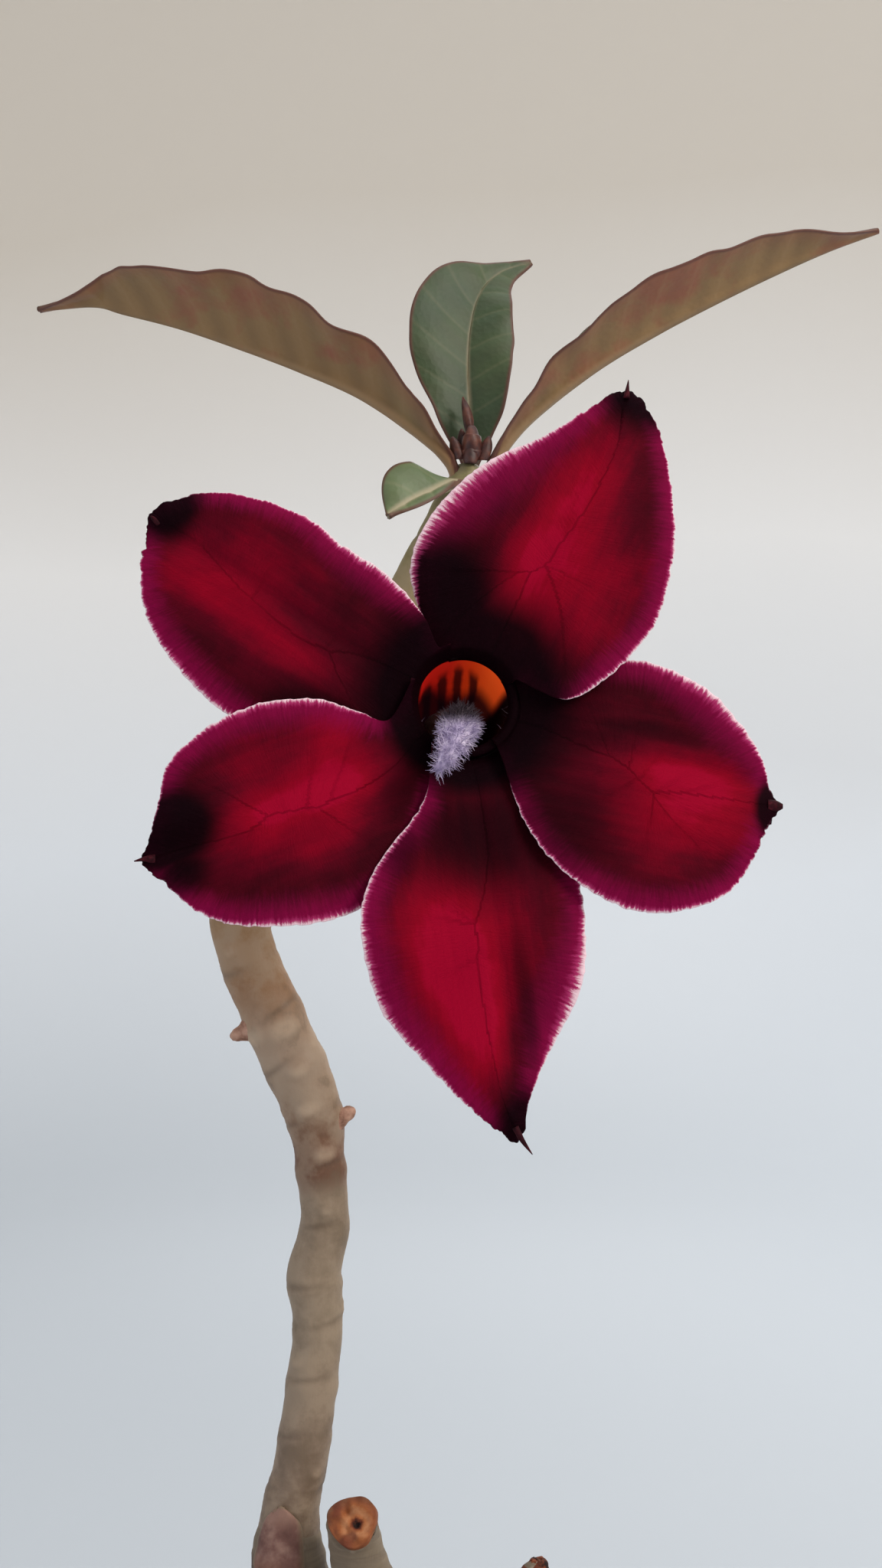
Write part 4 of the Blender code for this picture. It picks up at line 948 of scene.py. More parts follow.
def downy(name, dark, middle, pale):
    """Soft plant skin under a fine down: mottled at half a millimetre, with a faint sheen from the hairs."""
    material, tree = blank(name)
    where = add(tree, "ShaderNodeTexCoord", out="Object")
    tone = add(tree, "ShaderNodeTexNoise", {"Vector": where, "Scale": 260.0, "Detail": 5.0})
    down = add(tree, "ShaderNodeTexNoise", {"Vector": where, "Scale": 3200.0, "Detail": 2.0})
    colour = add(tree, "ShaderNodeValToRGB", {0: tone}, stops=((0.34, dark), (0.5, middle), (0.68, pale)))
    feel = add(tree, "ShaderNodeBump", {"Height": down, "Distance": 0.00008})
    add(tree, "ShaderNodeOutputMaterial", {0: add(tree, "ShaderNodeBsdfPrincipled", {
        "Base Color": colour, "Roughness": 0.68, "Specular IOR Level": 0.3, "Sheen Weight": 0.25,
        "Sheen Roughness": 0.45, "Normal": feel})}, None)
    return material


sepal_skin = downy("downy_sepal", "#5f3a2c", "#7d5a3c", "#8f8052")
foot = flower_point(0.0, THROAT_UP, -TUBE_DEPTH)
stalk_path = path_of((((-7.6, -2.9, 237.6), 1.35), ((-5.6, -5.0, 234.6), 1.05), ((-2.6, -8.2, 231.4), 1.0),
                      ((0.6, -11.2, 230.2), 1.05), (foot - OUTWARD * 2.2, 1.3), (foot - OUTWARD * 0.3, 1.85)), 18)
stalk_mesh = swept("flower_stalk", stalk_path, 36, lambda share, angle, centre: 0.07 * noise.noise(
    Vector((math.cos(angle), math.sin(angle), share * 9.0)) * 1.3))
stand_in(shown("flower_stalk", stalk_mesh, sepal_skin), "sepal", "pedicel")
for k in range(5):
    a = math.radians(72.0 * k + 20.0)
    stations = through(((27.2, 0.85, 0.0), (25.5, 1.15, 0.05), (23.5, 1.1, 0.2), (21.6, 0.75, 0.55),
                        (20.0, 0.12, 1.05)), 8)
    rows = []
    for depth, half, away in stations:
        r = 2.3 + (27.0 - depth) * 0.085 + 0.85 + away
        rows.append([flower_point((r - 0.25 * s * s) * math.cos(a + s * half / r),
                                  (r - 0.25 * s * s) * math.sin(a + s * half / r) + THROAT_UP, -depth)
                     for s in np.linspace(-1.0, 1.0, 13)])
    rows = np.array(rows)
    thick = np.full(rows.shape[:2], 0.24) + 0.3 * np.exp(-(np.linspace(-1.0, 1.0, 13) / 0.25) ** 2)[None, :]
    stand_in(shown(f"sepal_blade_{k + 1}", blade(f"sepal_blade_{k + 1}", rows, thick, flower_point(
        10.0 * math.cos(a), 10.0 * math.sin(a), 0.0) - FLOWER), sepal_skin), "sepal", f"sepal_{k + 1}")

# The tube is thin petal tissue: dull rose and downy outside, and inside an orange roof with a painted glow over a
# floor painted near-black as shade.
throat_skin, throat = blank("downy_corolla_tube")
place = add(throat, "ShaderNodeAttribute", out="Vector", attribute_name="throat")  # right, up, depth in mm
side_way = add(throat, "ShaderNodeSeparateXYZ", {0: place}, "X")
up_way = add(throat, "ShaderNodeSeparateXYZ", {0: place}, "Y")
depth = add(throat, "ShaderNodeSeparateXYZ", {0: place}, "Z")
inner = add(throat, "ShaderNodeAttribute", out="Fac", attribute_name="inner")
where = add(throat, "ShaderNodeTexCoord", out="Object")
tone = add(throat, "ShaderNodeTexNoise", {"Vector": where, "Scale": 300.0, "Detail": 4.0})
outside = add(throat, "ShaderNodeValToRGB", {0: tone}, stops=((0.35, "#6a1f2b"), (0.55, "#8d4046"), (0.7, "#a6625c")))
glow = add(throat, "ShaderNodeMapRange", {0: side_way, 1: -4.2, 2: 3.2})
ceiling = add(throat, "ShaderNodeValToRGB", {0: glow}, stops=(
    (0.0, "#bd1812"), (0.45, "#b01c10"), (0.75, "#c4340f"), (1.0, "#dc4c18")))
# Painted light and shade: the roof is orange only above a line, and below it the wall is painted near-black as shade;
# that line stands higher up on the left wall than in the middle.
rise = add(throat, "ShaderNodeMapRange", {0: side_way, 1: -2.4, 2: -4.3, 4: 1.3})
above = add(throat, "ShaderNodeMath", {0: up_way, 1: rise}, operation="SUBTRACT")
painted_light_roof = add(throat, "ShaderNodeMapRange", {0: above, 1: 0.7, 2: 1.9}, interpolation_type="SMOOTHSTEP")
lined = add(throat, "ShaderNodeMix", {0: painted_light_roof, 6: "#0b0206", 7: ceiling}, 2, data_type="RGBA")
# Guide lines run down the tube, 1.6 mm apart, dark red on the orange; they lean a little and widen inwards.
from_guide = add(throat, "ShaderNodeMath", {0: depth, 1: 0.088, 2: 0.42}, operation="MULTIPLY_ADD")
from_guide = add(throat, "ShaderNodeMath", {0: side_way, 1: from_guide}, operation="ADD")
guides = add(throat, "ShaderNodeMath", {0: from_guide, 1: 0.8}, operation="PINGPONG")
wander = add(throat, "ShaderNodeMapRange", {0: tone, 3: -0.25, 4: 0.25})
guides = add(throat, "ShaderNodeMath", {0: guides, 1: wander}, operation="ADD")
guides = add(throat, "ShaderNodeMapRange", {0: guides, 1: 0.66, 2: 0.22, 4: 0.92}, interpolation_type="SMOOTHSTEP")
off_guide = add(throat, "ShaderNodeMath", {0: from_guide}, operation="ABSOLUTE")
started = add(throat, "ShaderNodeMath", {0: off_guide, 1: 1.0, 2: depth}, operation="MULTIPLY_ADD")
begun = add(throat, "ShaderNodeMapRange", {0: started, 1: -2.2, 2: -6.0}, interpolation_type="SMOOTHSTEP")
guides = add(throat, "ShaderNodeMath", {0: guides, 1: begun}, operation="MULTIPLY")
kept = add(throat, "ShaderNodeMapRange", {0: side_way, 1: 2.7, 2: 2.3})
guides = add(throat, "ShaderNodeMath", {0: guides, 1: kept}, operation="MULTIPLY")
lined = add(throat, "ShaderNodeMix", {0: guides, 6: lined, 7: "#2c0808"}, 2, data_type="RGBA")
# Painted shade darkens the tube deeper in; the middle of the roof stays orange deeper down than its sides.
off_middle = add(throat, "ShaderNodeMath", {0: side_way, 1: 0.2}, operation="SUBTRACT")
off_middle = add(throat, "ShaderNodeMath", {0: off_middle}, operation="ABSOLUTE")
reach = add(throat, "ShaderNodeMapRange", {0: off_middle, 1: 2.6, 2: 0.8, 4: 3.5}, interpolation_type="SMOOTHSTEP")
reach = add(throat, "ShaderNodeMath", {0: reach, 1: depth}, operation="ADD")
painted_deep_shade = add(throat, "ShaderNodeMapRange", {0: reach, 1: -6.5, 2: -11.5, 4: 0.95}, interpolation_type="SMOOTHSTEP")
lined = add(throat, "ShaderNodeMix", {0: painted_deep_shade, 6: lined, 7: "#12040a"}, 2, data_type="RGBA")
colour = add(throat, "ShaderNodeMix", {0: inner, 6: outside, 7: lined}, 2, data_type="RGBA")
# The collar under the petals, and the lip just inside them, are painted near-black as shade under the petals.
painted_collar_shade = add(throat, "ShaderNodeMapRange", {0: depth, 1: -3.6, 2: -3.1}, interpolation_type="SMOOTHSTEP")
mouth = add(throat, "ShaderNodeMapRange", {0: depth, 1: -2.1, 2: -1.6}, interpolation_type="SMOOTHSTEP")
painted_collar_shade = add(throat, "ShaderNodeMix", {0: inner, 2: painted_collar_shade, 3: mouth}, 0, data_type="FLOAT")
colour = add(throat, "ShaderNodeMix", {0: painted_collar_shade, 6: colour, 7: "#14060a"}, 2, data_type="RGBA")
# Painted glow: the lit roof gives off a little light of its own colour, standing in for daylight coming through the
# thin roof of the tube.
painted_glow_mask = add(throat, "ShaderNodeMath", {0: painted_light_roof, 1: inner}, operation="MULTIPLY")
painted_glow_mask = add(throat, "ShaderNodeMath", {0: painted_glow_mask, 1: add(throat, "ShaderNodeMath", {
    0: 1.0, 1: painted_collar_shade}, operation="SUBTRACT")}, operation="MULTIPLY")
painted_glow_colour = add(throat, "ShaderNodeMix", {0: painted_glow_mask, 6: "#000000", 7: lined}, 2, data_type="RGBA")
add(throat, "ShaderNodeOutputMaterial", {0: add(throat, "ShaderNodeBsdfPrincipled", {
    "Base Color": colour, "Roughness": 0.6, "Specular IOR Level": 0.15, "Emission Color": painted_glow_colour,
    "Emission Strength": 0.45,
    "Normal": add(throat, "ShaderNodeBump", {"Height": tone, "Distance": 0.0001})})}, None)

THROAT_R = 4.9
tube_line = through(((THROAT_R + 0.35, -1.4), (THROAT_R + 0.3, -2.2), (THROAT_R + 0.15, -4.0),
                     (THROAT_R - 0.3, -12.0), (3.5, -18.0), (2.7, -22.0), (2.3, -26.4)), 7)
wall = 0.55
inside = [(r - wall, z) for r, z in tube_line[::-1][3:]]
# The petals stand on a narrow collar round the mouth.
collar_line = ((0.35, -1.5), (0.42, -2.2), (1.6, -2.45), (2.6, -2.6), (2.75, -2.75), (2.5, -2.9), (1.3, -3.0),
               (0.4, -3.3))
outer = [(THROAT_R + r, z) for r, z in collar_line] + [p for p in tube_line if p[1] < -3.6]
tube_profile = [tuple(p) for p in outer] + [(1.9, -26.9), (0.0, -27.0), (0.0, -25.4), (1.2, -25.3)] + inside
tube_mesh = turned("corolla_funnel", tube_profile[::-1] + [tube_profile[-1]], 112)
points = np.array([v.co for v in tube_mesh.vertices]) * 1000.0
radius = np.hypot(points[:, 0], points[:, 1])
shell = np.interp(points[:, 2], [p[1] for p in tube_line[::-1]], [p[0] for p in tube_line[::-1]]) - wall * 0.5
attribute(tube_mesh, "inner", ((radius < shell) & (points[:, 2] > -26.0)).astype(float))
attribute(tube_mesh, "throat", points)
around = np.arctan2(points[:, 1], points[:, 0])
# Five shallow flutes run down the tube, one below each join of two petals.
radius = radius * (1.0 + 0.02 * np.cos(5.0 * around + 0.4))
tube_mesh.vertices.foreach_set("co", np.array([flower_point(r * math.cos(a), r * math.sin(a) + THROAT_UP, z) * 0.001
                                               for r, a, z in zip(radius, around, points[:, 2])]).ravel())
close_up(tube_mesh, 0.000001)
stand_in(shown("corolla_funnel", tube_mesh, throat_skin), "petal", "corolla_tube")

# ---------------------------------------------------------------- The petals
# Five thick velvet petals, each with its clockwise edge over the next one: near-black at the throat, maroon
# with a crimson glow in the middle, magenta towards the margin, and a feathered, crimped, almost white rim.
# Each petal: its midrib's angle; its covered and its free edge as (along, across); then, as (along, across,
# half length, half width, strength), where it glows and where it is dark; where the rim is wide, as (side,
# along, reach, width); how far the dark throat spreads; and how its tip ends.
PETALS = {
    "petal_1": (
        64,
        ((6.4, -6.3), (9.5, -9.8), (13.0, -11.9), (18.6, -11.9), (25.2, -9.5), (31.2, -5.0), (36.0, -2.2),
         (38.5, -1.0)),
        ((6.2, 7.8), (10.0, 10.7), (14.7, 12.3), (18.8, 12.7), (25.7, 11.2), (32.1, 8.2), (36.4, 5.4), (38.7, 2.6)),
        ((22.5, 0.6, 10.0, 4.6, 0.85), (16.0, -1.0, 5.0, 2.6, 0.45), (14.0, 5.5, 6.0, 4.2, 0.35),
         (30.0, 0.4, 5.5, 4.2, 0.35), (20.0, 8.5, 9.0, 4.0, 0.42)),
        ((8.0, -8.0, 9.5, 7.0, 1.0), (39.6, 2.0, 4.2, 5.5, 0.95), (34.0, 7.0, 5.0, 2.4, 0.2)),
        ((-1, 21.0, 8.5, 0.80), (1, 22.0, 9.0, 0.10), (1, 9.0, 5.0, 0.12)), 15.0,
        (((38.4, 0.6, 0.5), 0.34), ((39.4, 0.3, 0.5), 0.2), ((40.5, 0.0, 0.3), 0.04))),
    "petal_2": (
        -12,
        ((6.5, -6.2), (9.5, -8.3), (13.0, -9.4), (17.6, -9.8), (23.0, -8.1), (27.2, -4.9), (29.6, -1.8), (30.8, 0.8)),
        ((6.3, 7.0), (9.2, 11.0), (13.7, 13.9), (19.0, 15.3), (24.2, 14.1), (28.3, 11.2), (30.1, 7.2), (31.0, 3.6)),
        ((21.5, 4.8, 8.5, 6.0, 0.85), (20.5, 0.8, 7.0, 1.5, 0.4), (25.0, 1.4, 4.0, 3.2, 0.3)),
        ((30.9, 2.2, 1.7, 3.2, 1.0), (18.0, -2.7, 7.0, 1.2, 0.45), (10.5, 8.5, 7.5, 5.5, 0.5)),
        ((-1, 23.0, 6.0, 0.50), (1, 18.0, 9.0, 0.16), (-1, 13.0, 5.0, 0.1)), 16.0,
        (((30.6, 2.1, 0.0), 0.6), ((31.5, 2.0, 0.1), 0.55), ((32.1, 1.9, 0.2), 0.25))),
    "petal_3": (
        -84,
        ((6.5, -5.8), (10.0, -7.6), (14.0, -8.7), (20.5, -8.9), (27.0, -7.5), (33.3, -3.3), (37.2, -1.1),
         (39.6, -0.5)),
        ((6.2, 4.6), (9.0, 6.4), (14.1, 11.0), (19.3, 12.8), (26.8, 11.8), (32.9, 7.9), (37.3, 4.3), (39.8, 1.5)),
        ((25.0, 4.0, 9.5, 4.2, 0.9), (31.0, 2.6, 5.5, 2.4, 0.55), (19.0, 5.0, 6.0, 5.0, 0.35),
         (20.0, -2.6, 8.0, 4.0, 0.4), (24.0, 8.0, 8.0, 3.4, 0.4)),
        ((39.5, -0.5, 4.2, 3.2, 0.9), (27.0, -2.0, 9.0, 1.1, 0.45), (12.0, 8.0, 4.0, 3.0, 0.5),
         (12.0, 0.0, 6.0, 8.0, 0.6)),
        ((1, 25.0, 8.0, 0.30), (-1, 26.5, 5.0, 0.60), (1, 13.0, 5.0, 0.12), (-1, 13.0, 7.0, 0.12)), 13.0,
        (((39.3, 0.5, 0.2), 0.32), ((40.6, 0.0, 0.3), 0.24), ((42.0, -0.8, 0.2), 0.04))),
    "petal_4": (
        -157,
        ((6.4, -6.0), (9.0, -9.0), (12.0, -11.4), (16.9, -12.7), (22.6, -12.1), (28.3, -9.6), (31.6, -6.2),
         (33.4, -2.0)),
        ((6.9, 3.2), (9.5, 5.1), (13.0, 7.7), (18.6, 9.3), (24.0, 8.9), (28.4, 7.1), (31.0, 3.4), (33.3, 0.4)),
        ((17.0, -0.8, 6.5, 2.2, 0.8), (12.4, 3.4, 3.4, 3.0, 0.7), (22.5, -2.0, 6.0, 3.4, 0.5),
         (17.0, -5.6, 4.0, 2.2, 0.5), (13.0, -2.0, 4.0, 3.4, 0.45), (20.0, 4.2, 6.0, 3.6, 0.45)),
        ((31.0, 1.2, 5.4, 4.2, 1.0), (31.0, -3.0, 3.0, 2.5, 0.7)),
        ((1, 17.0, 9.0, 0.26), (-1, 22.0, 7.0, 0.24)), 10.5,
        (((33.0, -0.7, 0.2), 0.5), ((33.8, -0.4, 0.5), 0.25), ((34.8, -0.2, 0.5), 0.05))),
    "petal_5": (
        147,
        ((6.0, -6.6), (9.0, -9.2), (14.0, -11.2), (20.0, -12.0), (25.6, -11.1), (30.9, -8.7), (34.5, -5.0),
         (36.3, -1.2)),
        ((6.4, 5.0), (9.4, 6.8), (14.2, 8.2), (19.5, 8.2), (24.6, 8.7), (30.0, 7.5), (34.0, 5.6), (36.6, 3.0)),
        ((24.0, -3.2, 8.0, 2.4, 0.5), (17.0, -3.8, 4.5, 2.6, 0.35), (24.0, 1.5, 8.0, 5.0, 0.45),
         (30.0, -1.4, 5.0, 5.0, 0.35), (22.0, -7.0, 8.0, 3.0, 0.1)),
        ((36.2, 2.6, 3.6, 4.2, 0.9), (11.0, -8.0, 8.0, 4.0, 0.7), (19.0, 3.0, 8.0, 3.0, 0.2)),
        ((1, 15.0, 8.0, 0.30), (-1, 24.0, 8.0, 0.20)), 14.0,
        (((36.0, 0.6, -0.3), 0.3), ((36.8, 0.8, -0.2), 0.22), ((37.2, 0.9, -0.2), 0.08))),
}
# Each petal leaves the mouth this far out, over this half turn, and rises 1.5 mm in each fifth of a turn.
PETAL_BASE_R, PETAL_HALF_TURN, PETAL_PITCH = 5.45, 0.74, 1.5 / 72.0
STEPS, COLS = 18, 133


def petal_height(along, across):
    """How far a petal stands out towards the viewer at this place on it."""
    r = math.hypot(along, across)
    arch = 1.6 * math.sin(math.pi * min(max((r - 6.0) / 36.0, 0.0), 1.0))
    return arch - 0.9 * math.exp((5.0 - r) / 2.0) + PETAL_PITCH * math.degrees(math.atan2(across, along))


def petal_body(name, seed, angle, covered, over, glows, darks, rims, spread_dark, needle):
    """The petal from inside the throat to its tip, with its zones written on it in mm."""
    turn = math.radians(angle)
    throat = np.array((math.sin(turn), -math.cos(turn))) * THROAT_UP
    corner = [throat + np.array((math.cos(a), math.sin(a))) * PETAL_BASE_R
              for a in (-PETAL_HALF_TURN, PETAL_HALF_TURN)]
    left, right = through([corner[0]] + list(covered), STEPS), through([corner[1]] + list(over), STEPS)
    s = np.linspace(0.0, 1.0, COLS)
    s = 0.45 * s + 0.55 * (0.5 - 0.5 * np.cos(math.pi * s))
    flat = left[:, None, :] * (1.0 - s)[None, :, None] + right[:, None, :] * s[None, :, None]
    for i in range(len(left)):
        half_span = i * 2.0 / STEPS
        reach = (np.linalg.norm(left[i] - throat) + np.linalg.norm(right[i] - throat)) / 2.0
        bow = (reach - ((left[i] + right[i]) / 2.0 - throat)[0]) * max(0.0, 1.0 - half_span / 9.0)
        # The end of the blade is rounded off.
        bow += 0.9 * max(0.0, (i - (len(left) - 1 - STEPS * 0.8)) / (STEPS * 0.8)) ** 2
        flat[i, :, 0] += bow * (1.0 - (2.0 * s - 1.0) ** 2)
        clear = np.linalg.norm(flat[i] - throat, axis=1)
        if half_span < 5.0:
            flat[i] = throat + (flat[i] - throat) * np.maximum(1.0, (PETAL_BASE_R + 0.1 * half_span) / clear)[:, None]
    # Distance to the margin and the run along it, before the margin is crimped.
    edge = np.concatenate([left[4:], flat[-1, 1:-1], right[:3:-1]])
    fine = np.concatenate([edge[:-1] + (edge[1:] - edge[:-1]) * t for t in (0.0, 0.25, 0.5, 0.75)], axis=1)
    fine = fine.reshape(-1, 2)
    run = np.concatenate([[0.0], np.cumsum(np.linalg.norm(np.diff(fine, axis=0), axis=1))])
    rim, margin_run = np.zeros(flat.shape[:2]), np.zeros(flat.shape[:2])
    for i in range(len(flat)):
        gaps = np.linalg.norm(flat[i][:, None, :] - fine[None, :, :], axis=2)
        rim[i], margin_run[i] = gaps.min(axis=1), run[gaps.argmin(axis=1)]
    u, v = flat[:, :, 0], flat[:, :, 1]
    out, crimp, near = np.zeros(u.shape), np.zeros(u.shape), np.exp(-rim / 0.8)
    for i, j in np.ndindex(*u.shape):
        w = margin_run[i, j]
        far = min(1.0, max(0.0, (math.hypot(*(flat[i, j] - throat)) - 7.5) / 5.0))
        tip = max(0.0, 1.0 - abs(w - run[-1] / 2.0) / 9.0)
        crimp[i, j] = near[i, j] * far * ((0.17 + 0.16 * tip) * noise.noise(Vector((w * 1.1, seed, 0.0)))
                                          + (0.10 + 0.10 * tip) * noise.noise(Vector((w * 2.9, seed, 5.0))))
        out[i, j] = petal_height(u[i, j], v[i, j])
        soft = math.exp(-rim[i, j] / 4.0) * far
        out[i, j] += soft * 0.75 * noise.noise(Vector((w * 0.13, seed * 2.0, 1.0)))
        out[i, j] += math.exp(-rim[i, j] / 1.1) * far * (0.20 * noise.noise(Vector((w * 0.75, seed, 8.0)))
                                                        + 0.10 * noise.noise(Vector((w * 2.1, seed, 3.0))))
        out[i, j] += far * 0.45 * noise.noise(Vector((u[i, j] * 0.10, v[i, j] * 0.16, seed)))
        # Faint ribs fan out from the throat, and the midrib is a shallow channel.
        fan = math.degrees(math.atan2(v[i, j], u[i, j] + 4.0))
        out[i, j] += far * 0.05 * noise.noise(Vector((fan * 0.28, u[i, j] * 0.05, seed)))
        out[i, j] -= 0.30 * math.exp(-(v[i, j] / 1.1) ** 2) * far * max(0.0, 1.0 - rim[i, j] / 40.0)
        out[i, j] -= 0.35 * math.exp(-rim[i, j] / 1.2) * far
    if name == "petal_4":  # its tip is pinched into a fold
        out += 1.3 * np.exp(-((u - 31.5) / 4.5) ** 2 - ((v - 1.8) / 2.6) ** 2) - 0.8 * np.exp(
            -((u - 30.0) / 4.0) ** 2 - ((v + 1.2) / 1.4) ** 2)
    if name == "petal_3":  # a soft crease beside the midrib
        out += 0.35 * np.exp(-((u - 28.0) / 9.0) ** 4) * np.tanh((v - 0.7) / 0.5)
    middle = np.array((np.mean(u), np.mean(v)))
    away = flat - middle
    away /= np.linalg.norm(away, axis=2)[:, :, None]
    flat = flat + away * crimp[:, :, None]
    # Three more rows run down into the mouth.
    first = flat[0] - throat
    first /= np.linalg.norm(first, axis=1)[:, None]
    mouth = [throat + first * r for r in (4.72, 4.9, 5.15)]
    down = [np.full(COLS, z) + (out[0] - out[0].mean()) * 0.4 for z in (-1.75, -1.2, -0.9)]
    flat = np.concatenate([np.array(mouth), flat])
    out = np.concatenate([np.array(down), out])
    rim = np.concatenate([np.full((3, COLS), 4.0), rim])
    margin_run = np.concatenate([np.repeat(margin_run[:1], 3, axis=0), margin_run])
    u, v = flat[:, :, 0], flat[:, :, 1]
    across, up = u * math.cos(turn) + v * math.sin(turn), u * math.sin(turn) - v * math.cos(turn)
    grid = np.array(FLOWER) + across[..., None] * np.array(RIGHT) + up[..., None] * np.array(UP) \
        + out[..., None] * np.array(OUTWARD)
    glow, dark = np.zeros(u.shape), np.zeros(u.shape)
    for a, b, long, wide, power in glows:
        glow += power * np.exp(-(((u - a) / long) ** 2 + ((v - b) / wide) ** 2))
    for a, b, long, wide, power in darks:
        dark = np.maximum(dark, power * np.exp(-(((u - a) / long) ** 2 + ((v - b) / wide) ** 2) ** 1.5))
    from_throat = np.linalg.norm(flat - throat, axis=2)
    dark = np.maximum(dark, np.clip((spread_dark - from_throat) / (spread_dark - 7.0), 0.0, 1.0) ** 1.3)
    side = np.where(margin_run < run[-1] / 2.0, -1.0, 1.0)
    tip = np.exp(-(np.linalg.norm(flat - flat[-1].mean(axis=0), axis=2) / 5.0) ** 2)
    pale = np.full(u.shape, 0.10)
    for which, a, reach, width in rims:
        pale += np.where(side == which, width * np.exp(-((u - a) / reach) ** 2), 0.0)
    pale = pale * (1.0 - 0.85 * tip) * np.clip((from_throat - 8.5) / 4.0, 0.02, 1.0)
    thick = 0.14 + 0.34 * np.clip(rim / 1.6, 0.0, 1.0) ** 0.6
    mesh = blade(name, grid, thick, OUTWARD, place=np.stack([u, v, np.full(u.shape, seed)], axis=-1),
                 margin=np.stack([margin_run, rim, pale], axis=-1), glow=np.clip(glow, 0.0, 1.2), dark=dark)
    ends = [((*flower_point(a * math.cos(turn) + b * math.sin(turn), a * math.sin(turn) - b * math.cos(turn),
                            petal_height(a, b) * 0.6 + lift),), r) for (a, b, lift), r in needle]
    return mesh, swept(name + "_tip", path_of(ends, 8), 16)


# Petal velvet gives almost no shine: the colour is deep, streaked along the petal, and feathered at its rim.
velvet, petal = blank("velvet_petal")
place = add(petal, "ShaderNodeAttribute", out="Vector", attribute_name="place")
margin = add(petal, "ShaderNodeAttribute", out="Vector", attribute_name="margin")
where = add(petal, "ShaderNodeTexCoord", out="Object")
rim = add(petal, "ShaderNodeSeparateXYZ", {0: margin}, "Y")
pale = add(petal, "ShaderNodeSeparateXYZ", {0: margin}, "Z")
# Feathering: streaks half a millimetre apart that run in from the margin.
lanes = add(petal, "ShaderNodeMapping", {"Vector": margin, "Scale": (3.6, 0.40, 0.0)})
feather = add(petal, "ShaderNodeTexNoise", {"Vector": lanes, "Scale": 1.0, "Detail": 4.0, "Roughness": 0.62})
fans = add(petal, "ShaderNodeMapping", {"Vector": place, "Scale": (0.10, 0.75, 1.0)})
nerves = add(petal, "ShaderNodeTexNoise", {"Vector": fans, "Scale": 1.0, "Detail": 5.0, "Roughness": 0.6})
cloud = add(petal, "ShaderNodeTexNoise", {"Vector": place, "Scale": 0.17, "Detail": 5.0, "Roughness": 0.6})
glow = add(petal, "ShaderNodeAttribute", out="Fac", attribute_name="glow")
streaked = add(petal, "ShaderNodeMapRange", {0: nerves, 1: 0.3, 2: 0.7, 3: -0.09, 4: 0.09})
clouded = add(petal, "ShaderNodeMapRange", {0: cloud, 1: 0.3, 2: 0.7, 3: -0.17, 4: 0.17})
glow = add(petal, "ShaderNodeMath", {0: add(petal, "ShaderNodeMath", {0: glow, 1: streaked}), 1: clouded})
skin = add(petal, "ShaderNodeValToRGB", {0: glow}, stops=(
    (0.0, "#38030f"), (0.28, "#4f0315"), (0.6, "#71021a"), (0.85, "#82021c"), (1.0, "#910325")))
# Magenta creeps in from the margin in ragged streaks.
jitter = add(petal, "ShaderNodeMapRange", {0: feather, 1: 0.28, 2: 0.72, 3: -1.5, 4: 1.5})
inward = add(petal, "ShaderNodeMath", {0: jitter, 1: 0.36, 2: rim}, operation="MULTIPLY_ADD")
wide = add(petal, "ShaderNodeMath", {0: pale, 1: 3.4, 2: 1.2}, operation="MULTIPLY_ADD")
share = add(petal, "ShaderNodeMath", {0: inward, 1: wide}, operation="DIVIDE")
magenta = add(petal, "ShaderNodeMapRange", {0: share, 1: 1.6, 2: 0.0, 4: 0.8}, interpolation_type="SMOOTHSTEP")
skin = add(petal, "ShaderNodeMix", {0: magenta, 6: skin, 7: "#82083f"}, 2, data_type="RGBA")
dark = add(petal, "ShaderNodeAttribute", out="Fac", attribute_name="dark")
uneven = add(petal, "ShaderNodeMapRange", {0: clouded, 1: -0.3, 2: 0.3, 3: 0.75, 4: 1.2})
dark = add(petal, "ShaderNodeMath", {0: dark, 1: uneven}, operation="MULTIPLY")
dark = add(petal, "ShaderNodeMapRange", {0: dark, 1: 0.02, 2: 0.8, 4: 0.97}, interpolation_type="SMOOTHSTEP")
skin = add(petal, "ShaderNodeMix", {0: dark, 6: skin, 7: "#0a0004"}, 2, data_type="RGBA")
# The rim itself blushes and then turns almost white, wider on some stretches than on others.
loose = add(petal, "ShaderNodeMath", {0: pale, 1: 0.5, 2: 0.05}, operation="MULTIPLY_ADD")
inward = add(petal, "ShaderNodeMath", {0: jitter, 1: loose, 2: rim}, operation="MULTIPLY_ADD")
share = add(petal, "ShaderNodeMath", {0: inward, 1: pale}, operation="DIVIDE")
some = add(petal, "ShaderNodeMapRange", {0: pale, 1: 0.03, 2: 0.10})
blush = add(petal, "ShaderNodeMapRange", {0: share, 1: 2.6, 2: 0.5, 4: 0.55}, interpolation_type="SMOOTHSTEP")
blush = add(petal, "ShaderNodeMath", {0: blush, 1: some}, operation="MULTIPLY")
skin = add(petal, "ShaderNodeMix", {0: blush, 6: skin, 7: "#c0427c"}, 2, data_type="RGBA")
white = add(petal, "ShaderNodeMapRange", {0: share, 1: 1.15, 2: 0.0, 4: 0.88}, interpolation_type="SMOOTHSTEP")
white = add(petal, "ShaderNodeMath", {0: white, 1: some}, operation="MULTIPLY")
skin = add(petal, "ShaderNodeMix", {0: white, 6: skin, 7: "#ecd3dc"}, 2, data_type="RGBA")
# The back is duller and pinker, with its nerves showing.
below = add(petal, "ShaderNodeAttribute", out="Fac", attribute_name="underside")
back = add(petal, "ShaderNodeValToRGB", {0: nerves}, stops=((0.35, "#6f1f37"), (0.5, "#8c3a4e"), (0.66, "#b06a78")))
back = add(petal, "ShaderNodeMix", {0: dark, 6: back, 7: "#2a0a12"}, 2, data_type="RGBA")
back = add(petal, "ShaderNodeMix", {0: white, 6: back, 7: "#e3c2c8"}, 2, data_type="RGBA")
skin = add(petal, "ShaderNodeMix", {0: below, 6: skin, 7: back}, 2, data_type="RGBA")
